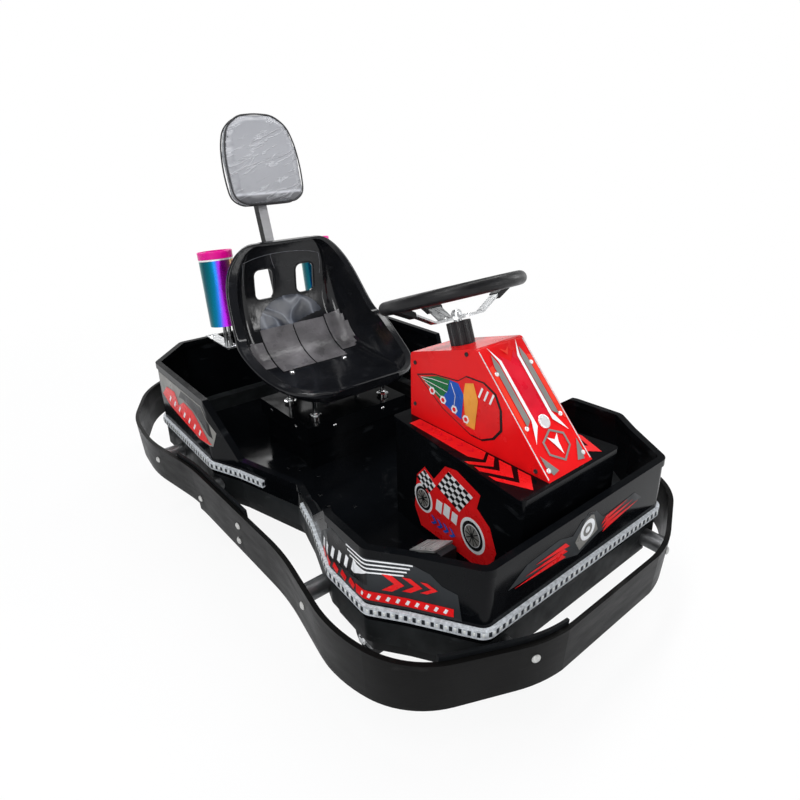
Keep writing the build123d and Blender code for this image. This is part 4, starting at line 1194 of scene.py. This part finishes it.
class BUMPER_OT_console_trim(bpy.types.Operator):
    """Lays the console's stripes and films, with its rivets, screws, badge and polished edges"""
    bl_idname = "bumper.console_trim"
    bl_label = "Console trim"

    def execute(self, context):
        sheet = standing(SLOPE_PEAK + SLOPE_OUT * 0.1, SLOPE_OUT, ACROSS)
        ring = [SLOPE_HEXAGON, [(x * 0.86, 202 + (v - 202) * 0.86) for x, v in SLOPE_HEXAGON]]
        print_on("console_slope_film", "console_front", sheet, [
            ("print_crimson", on_slope([SLOPE_CRIMSON])),
            ("print_bright_red", on_slope(on_both(SLOPE_FIELD))),
            ("print_silver", on_slope(on_both(SLOPE_STRIP) + on_both(SLOPE_CORNER) + ring)),
            ("print_white", on_slope(on_both(SLOPE_WHITE) + [SLOPE_DART])),
            ("print_bright_red", on_slope([SLOPE_TICK]))])
        print_on("console_bright_edges", "console_sides", sheet,
                 [("bright", on_slope(on_both(SLOPE_EDGE)))])
        for side, sign in SIDES:
            print_on("console_side_film_" + side, "console_sides", facing_side(sign),
                     console_side_layers(sign))
        fasten(socket_head("console_screw", sizes().screw_radius, SCREW_TALL), "console_screws",
               stand_on_sides("console_sides", mm(CONSOLE_SCREWS)), "dark")
        fasten(domed_head("console_rivet", sizes().rivet_radius, RIVET_TALL), "console_rivets",
               [stand_on_slope(x, v) for x, v in SLOPE_RIVETS], "bright")
        badge = turned("console_badge", BADGE_PROFILE)
        badge.matrix_world = stand_on_slope(*SLOPE_BADGE)
        dressed(settle(badge), "bright")
        return {"FINISHED"}


# Steering column, its place being the middle of the steering wheel
COLUMN = Matrix.Translation((0, -0.336, 0.627)) @ turn(-19.8, "X") @ turn(-15, "Z")
SLEEVE_RADIUS = 0.0234
SLEEVE_LOW = -0.0958
SLEEVE_TALL = 0.0423
FLUTES = 28
FLUTE_SHARE = 0.955
HUB_BOLT_PLACE = (0.0235, 0, -0.044)


class BUMPER_OT_column_sleeve(bpy.types.Operator):
    """Makes the fluted sleeve under the steering wheel, and the bolts that hold the spokes to the hub"""
    bl_idname = "bumper.column_sleeve"
    bl_label = "Column sleeve"

    def execute(self, context):
        sleeve = primitive("circle", "column_sleeve", vertices=4 * FLUTES, radius=SLEEVE_RADIUS,
                           fill_type="NGON", location=(0, 0, SLEEVE_LOW))
        for index, corner in enumerate(sleeve.data.vertices):
            if index % 4 > 1:
                corner.co.xy *= FLUTE_SHARE
        with editing(sleeve):
            bpy.ops.mesh.extrude_region_move(TRANSFORM_OT_translate={"value": (0, 0, SLEEVE_TALL)})
            bpy.ops.mesh.select_all(action="SELECT")
            bpy.ops.mesh.normals_make_consistent(inside=False)
        sleeve.matrix_world = COLUMN
        dressed(smooth(settle(sleeve), 30), "ribbed")
        places = [COLUMN @ turn(degrees, "Z") @ Matrix.Translation(HUB_BOLT_PLACE)
                  for degrees in (45, 135, 225, 315)]
        fasten(domed_head("hub_bolt", *HUB_BOLT), "hub_bolts", places, body="steering")
        return {"FINISHED"}


# Lights: x and y of the tub's corners on the right, rear to front, and the height of the strip's middle
TUB_CORNERS = [(-235, 490), (-340, 378), (-345, 70), (-314, -9), (-268, -176), (-294, -272), (-341, -402),
               (-346, -511), (-306, -567), (-242, -670)]
STRIP_Z = 0.2165
# Name, width, height and finish. They follow each other in turn
CHIPS = (("dark_chips", 0.0052, 0.0086, "chip_dark"), ("pale_chips", 0.0036, 0.0052, "chip_pale"))
CHIP_THICK = 0.0012
CHIP_EDGE = 0.0008
CHIP_RISE = 0.0003


class BUMPER_OT_light_chips(bpy.types.Operator):
    """Sets the dark and pale chips of the light strips"""
    bl_idname = "bumper.light_chips"
    bl_label = "Light chips"

    def execute(self, context):
        corners = [Vector((x, y, 0)) / 1000 for x, y in TUB_CORNERS]
        corners += [Vector((-corner.x, corner.y, 0)) for corner in reversed(corners)]
        places = ([], [])
        count = 0
        for start, end in zip(corners, corners[1:] + corners[:1]):
            outward = (end - start).normalized().cross(UP)
            steps = max(1, round((end - start).length / sizes().chip_pitch))
            for step in range(steps):
                spot = start.lerp(end, (step + 0.5) / steps) + UP * STRIP_Z + outward * 0.05
                hit, point, facing, face = nodes["light_strips"].ray_cast(spot, -outward, distance=0.06)
                if hit and abs(facing.z) < 0.1:
                    places[count % 2].append(standing(point, facing))
                count += 1
        for (name, wide, tall, finish), spots in zip(CHIPS, places):
            chip = primitive("cube", "light_chip", size=1, scale=(wide, tall, CHIP_THICK))
            inset(chip, looks_up, CHIP_EDGE, CHIP_RISE)
            fasten(chip, name, spots, finish)
        return {"FINISHED"}


# Tailpipes: radius and height of the lip and of the bright line under it, from the pipe's top
PIPE_X = 0.148
PIPE_TOP = (0.388, 0.625)
PIPE_TILT = -8
PIPE_LIP = [(0.0394, -0.032), (0.0394, -0.001), (0.0402, 0.0016), (0.0418, 0.0024), (0.0434, 0.0016),
            (0.0441, -0.0006), (0.0438, -0.0040), (0.0438, -0.0165), (0.0430, -0.0172), (0.0402, -0.032),
            (0.0394, -0.032)]
PIPE_LINE = [(0.0429, -0.0215), (0.0429, -0.0172), (0.0435, -0.0174), (0.0435, -0.0213), (0.0429, -0.0215)]


class BUMPER_OT_tailpipe_mouths(bpy.types.Operator):
    """Makes the rolled magenta mouth of each tailpipe, with a bright line under it"""
    bl_idname = "bumper.tailpipe_mouths"
    bl_label = "Tailpipe mouths"

    def execute(self, context):
        for side, sign in SIDES:
            for name, profile, finish, slot in (("tailpipe_mouth_", PIPE_LIP, "mouth", "pipe_rainbow"),
                                                ("tailpipe_line_", PIPE_LINE, "bright", "bare_steel")):
                ring = turned(name + side, profile, 64)
                ring.matrix_world = Matrix.Translation((sign * PIPE_X, *PIPE_TOP)) @ turn(PIPE_TILT, "X")
                dressed(settle(ring), finish)
        return {"FINISHED"}


# Wheels: a tread bar's width, lean and root in the tyre, how far off the tyre's middle it starts, and
# how much shorter it is than the tyre's half
TREAD_BAR_WIDE = 0.0072
TREAD_LEAN = 0.35
TREAD_ROOT = 0.002
TREAD_START = 0.002
TREAD_SHORT = 0.010
# How far out the nuts and bolts stand, and the place of a caster's axle with its half length
AXLE_NUT_X = 0.2396
RIM_BOLT_X = 0.2290
RIM_BOLT_REACH = 0.0305
CASTER_AXLE = (0.268, -0.41, 0.0375)
CASTER_NUT_OUT = 0.0202


def tread_bar(radius, half):
    """One slanting bar of the tread, its top on the tyre's round."""
    deep = sizes().tread_deep
    long = half - TREAD_SHORT
    piece = primitive("cube", "tread_bar", size=1, scale=(deep + TREAD_ROOT, TREAD_BAR_WIDE, long),
                      location=(radius - deep / 2 - TREAD_ROOT / 2, 0, long / 2 + TREAD_START))
    for corner in piece.data.vertices:
        corner.co.y += corner.co.z * TREAD_LEAN
        corner.co.x = min(corner.co.x, math.sqrt(radius ** 2 - corner.co.y ** 2))
    add_modifier(piece, "BEVEL", width=0.0006, segments=1)
    return piece


def drive_tyre(side):
    """A drive tyre with two rows of bars that lean toward each other, in place of the plain one."""
    low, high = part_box("rear_tyre_" + side)
    radius = (high.z - low.z) / 2
    half = (high.x - low.x) / 2
    tread = radius - sizes().tread_deep
    base = turned("tyre_base", [
        (0.046, -0.020), (0.050, -0.0228), (0.058, -half), (0.062, -half), (tread - 0.002, -half + 0.005),
        (tread, -half + 0.009), (tread, half - 0.009), (tread - 0.002, half - 0.005), (0.062, half),
        (0.058, half), (0.050, 0.0228), (0.046, 0.020), (0.046, -0.020)], 72)
    count = sizes().tread_bars
    places = []
    for index in range(count):
        here = turn(index * 360 / count, "Z")
        places += [here, turn(180 / count, "Z") @ here @ turn(180, "X")]
    tyre = joined_as("drive_tyre_" + side, [base, spread(tread_bar(radius, half), "tread_bars", places)])
    tyre.matrix_world = Matrix.Translation((low + high) / 2) @ turn(90, "Y")
    dressed(settle(tyre), "tyre", "rear_wheel_" + side)
    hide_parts("rear_tyre_" + side)
    return (low + high) / 2


class BUMPER_OT_wheels(bpy.types.Operator):
    """Cuts the tread of the drive tyres and adds the nuts and bolts of all the wheels"""
    bl_idname = "bumper.wheels"
    bl_label = "Wheels"

    def execute(self, context):
        for side, sign in SIDES:
            middle = drive_tyre(side)
            outward = turn(sign * 90, "Y")
            nut = Matrix.Translation((sign * AXLE_NUT_X, middle.y, middle.z)) @ outward
            fasten(hexagon_head("axle_nut", *AXLE_NUT), "axle_nut_" + side, [nut])
            rim = Matrix.Translation((sign * RIM_BOLT_X, middle.y, middle.z)) @ outward
            places = [rim @ turn(degrees, "Z") @ Matrix.Translation((RIM_BOLT_REACH, 0, 0))
                      for degrees in range(0, 360, 72)]
            fasten(hexagon_head("rim_bolt", *RIM_BOLT), "rim_bolts_" + side, places,
                   body="rear_wheel_" + side)
            x, y, z = CASTER_AXLE
            places = [Matrix.Translation((sign * x + end * CASTER_NUT_OUT, y, z)) @ turn(end * 90, "Y")
                      for end in (-1, 1)]
            fasten(hexagon_head("caster_nut", *CASTER_NUT), "caster_nuts_" + side, places,
                   body="caster_" + side)
        return {"FINISHED"}


# Small fasteners inside the tub, in millimetres: x and y on the floor, the studs and the tailpipes' bars,
# x and z on the front of the seat box's lid, y and z on its sides
FLOOR_BUMPS = [(-176, 35), (-160, 12), (-143, -42), (-182, -113), (-192, -160), (-150, -200)]
LID_FRONT_BOLTS = [(-72, 256), (72, 256)]
LID_SIDE_BOLTS = [(40, 256), (158, 256)]
STUD_PLACES = [(-101, 21), (-101, 140), (101, 21), (101, 140)]
STUD_NUT_Z = 0.277
STUD_TOP_NUT_Z = 0.3255
PIPE_BAR_BOLTS = [(143, 356), (153, 470)]
PIPE_BAR_Z = 0.377


class BUMPER_OT_small_fasteners(bpy.types.Operator):
    """Adds the floor's rivets, the bolts of the seat box and tailpipes, and the nuts of the seat studs"""
    bl_idname = "bumper.small_fasteners"
    bl_label = "Small fasteners"

    def execute(self, context):
        places = [stand_on("floor_pan", (sign * x, y, 0.2), -UP)
                  for x, y in mm(FLOOR_BUMPS) for side, sign in SIDES]
        fasten(domed_head("floor_rivet", *FLOOR_RIVET), "floor_rivets", places, "paint")
        places = [stand_on("seat_box_lid", (x, -0.1, z), (0, 1, 0)) for x, z in mm(LID_FRONT_BOLTS)]
        places += stand_on_sides("seat_box_lid", mm(LID_SIDE_BOLTS), 0.3)
        fasten(domed_head("lid_bolt", *LID_BOLT), "lid_bolts", places)
        places = []
        for x, y in mm(STUD_PLACES):
            places += [Matrix.Translation((x, y, STUD_NUT_Z)),
                       Matrix.Translation((x, y, STUD_TOP_NUT_Z)) @ turn(180, "X")]
        fasten(hexagon_head("stud_nut", *STUD_NUT), "stud_nuts", places)
        places = [Matrix.Translation((sign * x, y, PIPE_BAR_Z))
                  for side, sign in SIDES for x, y in mm(PIPE_BAR_BOLTS)]
        fasten(hexagon_head("pipe_bar_bolt", *PIPE_BAR_BOLT), "pipe_bar_bolts", places)
        return {"FINISHED"}


# Stage
CAMERA_PLACE = (-0.771988, -1.132187, 0.914492)
CAMERA_TURN = (68.6593, 0.6657, -40.1059)
CAMERA_LENS = 27.415
CAMERA_SENSOR = 36
CAMERA_SHIFT = (-0.01055, -0.04217)
# name, place, what it looks at, width, height, power
LAMPS = [("overhead_right", (-1.1, -0.4, 3.0), (0, 0, 0.3), 0.35, 2.6, 40),
         ("overhead_left", (1.2, 0.2, 3.0), (0, 0, 0.3), 0.4, 2.4, 26),
         ("front_right", (-2.6, -2.2, 1.9), (0, -0.1, 0.3), 0.7, 1.9, 34),
         ("left", (2.8, -0.9, 1.8), (0, 0, 0.3), 0.6, 1.8, 22),
         ("front_left", (1.5, -2.7, 1.3), (0, 0.2, 0.5), 0.25, 1.8, 14),
         ("rear", (0.6, 2.8, 2.0), (0, 0, 0.4), 2.0, 0.6, 20)]
SKY = (0.9, 0.93, 1.0, 1)
SKY_STRENGTH = 0.4
# Rise of a ray at which gloss leaves the white and at which it sees only the ceiling, and how dim that is
CEILING_FROM = 0.12
CEILING_TO = 0.5
CEILING_STRENGTH = 0.12
FLOOR_RADIUS = 14
FLOOR_LOW = -0.0005
# Where the floor's own white begins to take over from its lit colour, and where it has done so
GLOW_FROM = 0.9
GLOW_TO = 2.4
GLOW_TO_CAMERA = 0.9
GLOW_TO_GLOSS = 0.2


def set_camera(scene):
    lens = bpy.data.cameras.new("photo_camera")
    lens.lens = CAMERA_LENS
    lens.sensor_width = CAMERA_SENSOR
    lens.shift_x, lens.shift_y = CAMERA_SHIFT
    camera = bpy.data.objects.new("photo_camera", lens)
    camera.location = CAMERA_PLACE
    camera.rotation_euler = [math.radians(degrees) for degrees in CAMERA_TURN]
    scene.collection.objects.link(camera)
    scene.camera = camera


def set_lamps(scene):
    for name, place, target, width, height, power in LAMPS:
        light = bpy.data.lights.new("lamp_" + name, "AREA")
        light.shape = "RECTANGLE"
        light.size = width
        light.size_y = height
        light.energy = power
        lamp = bpy.data.objects.new("lamp_" + name, light)
        lamp.location = place
        lamp.rotation_euler = (Vector(target) - Vector(place)).to_track_quat("-Z", "Y").to_euler()
        scene.collection.objects.link(lamp)


def set_surroundings(scene):
    """White all round to the camera, and dimmer overhead to gloss, as a studio's ceiling is."""
    scene.world = bpy.data.worlds.new("surroundings")
    scene.world.use_nodes = True
    tree = scene.world.node_tree
    soft = tree.nodes["Background"]
    soft.inputs["Color"].default_value = SKY
    soft.inputs["Strength"].default_value = SKY_STRENGTH
    bright = tree.nodes.new("ShaderNodeBackground")
    bright.inputs["Color"].default_value = (1, 1, 1, 1)
    apart = tree.nodes.new("ShaderNodeSeparateXYZ")
    tree.links.new(tree.nodes.new("ShaderNodeTexCoord").outputs["Generated"], apart.inputs[0])
    dimmed = map_range(tree, apart.outputs["Z"], CEILING_FROM, CEILING_TO, 1.0, CEILING_STRENGTH,
                       "SMOOTHSTEP")
    rays = tree.nodes.new("ShaderNodeLightPath").outputs
    tree.links.new(math_node(tree, "MAXIMUM", rays["Is Camera Ray"], dimmed), bright.inputs["Strength"])
    seen = math_node(tree, "MAXIMUM", rays["Is Camera Ray"], rays["Is Glossy Ray"])
    seen = math_node(tree, "MAXIMUM", seen, rays["Is Transmission Ray"])
    mix_shaders(tree, seen, soft.outputs[0], bright.outputs[0],
                tree.nodes["World Output"].inputs["Surface"])


def set_floor():
    """A pale floor that keeps the car's shadow, and turns white away from it."""
    floor = primitive("circle", "floor", vertices=96, radius=FLOOR_RADIUS, fill_type="NGON",
                      location=(0, 0, FLOOR_LOW))
    finish = Finish("white_floor", (0.9, 0.9, 0.9), 0.7).polish(3, 0.6, 0.8)
    tree = finish.tree
    glow = tree.nodes.new("ShaderNodeEmission")
    glow.inputs["Strength"].default_value = 1.0
    reach = finish.node("ShaderNodeVectorMath")
    reach.operation = "LENGTH"
    tree.links.new(finish.place, reach.inputs[0])
    rays = tree.nodes.new("ShaderNodeLightPath").outputs
    shares = []
    for ray, near in (("Is Camera Ray", GLOW_TO_CAMERA), ("Is Glossy Ray", GLOW_TO_GLOSS)):
        fade = map_range(tree, reach.outputs["Value"], GLOW_FROM, GLOW_TO, near, 1.0)
        shares.append(math_node(tree, "MULTIPLY", rays[ray], fade))
    share = math_node(tree, "MAXIMUM", *shares)
    share = math_node(tree, "MAXIMUM", share, rays["Is Transmission Ray"])
    mix_shaders(tree, share, finish.shader.outputs[0], glow.outputs[0],
                tree.nodes["Material Output"].inputs["Surface"])
    floor.data.materials.append(finish.material)


class BUMPER_OT_stage(bpy.types.Operator):
    """Sets the camera, the lamps, the floor and the white surroundings"""
    bl_idname = "bumper.stage"
    bl_label = "Stage"

    def execute(self, context):
        context.scene.view_settings.view_transform = "Standard"
        set_camera(context.scene)
        set_lamps(context.scene)
        set_surroundings(context.scene)
        set_floor()
        return {"FINISHED"}


STEPS = [BUMPER_OT_stage, BUMPER_OT_finish_frame, BUMPER_OT_headrest, BUMPER_OT_seat_pads,
         BUMPER_OT_seat_lines, BUMPER_OT_belt_bolts, BUMPER_OT_tub_prints, BUMPER_OT_deck_prints,
         BUMPER_OT_console_trim, BUMPER_OT_column_sleeve, BUMPER_OT_light_chips,
         BUMPER_OT_tailpipe_mouths, BUMPER_OT_wheels, BUMPER_OT_small_fasteners]


class BUMPER_PT_panel(bpy.types.Panel):
    """Lists the steps that dress the car"""
    bl_idname = "BUMPER_PT_panel"
    bl_label = "Bumper Car"
    bl_space_type = "VIEW_3D"
    bl_region_type = "UI"
    bl_category = "Bumper Car"

    def draw(self, context):
        for group in (context.scene.bumper_sizes, context.scene.bumper_colours):
            box = self.layout.box()
            for name in group.__annotations__:
                box.prop(group, name)
        for step in STEPS:
            self.layout.operator(step.bl_idname)


CLASSES = [BumperCarSizes, BumperCarColours, *STEPS, BUMPER_PT_panel]


def register():
    for cls in CLASSES:
        bpy.utils.register_class(cls)
    bpy.types.Scene.bumper_sizes = PointerProperty(type=BumperCarSizes)
    bpy.types.Scene.bumper_colours = PointerProperty(type=BumperCarColours)


def unregister():
    del bpy.types.Scene.bumper_colours
    del bpy.types.Scene.bumper_sizes
    for cls in reversed(CLASSES):
        bpy.utils.unregister_class(cls)


def main():
    register()
    for step in STEPS:
        group, name = step.bl_idname.split(".")
        getattr(getattr(bpy.ops, group), name)()


if __name__ == "__main__":
    main()
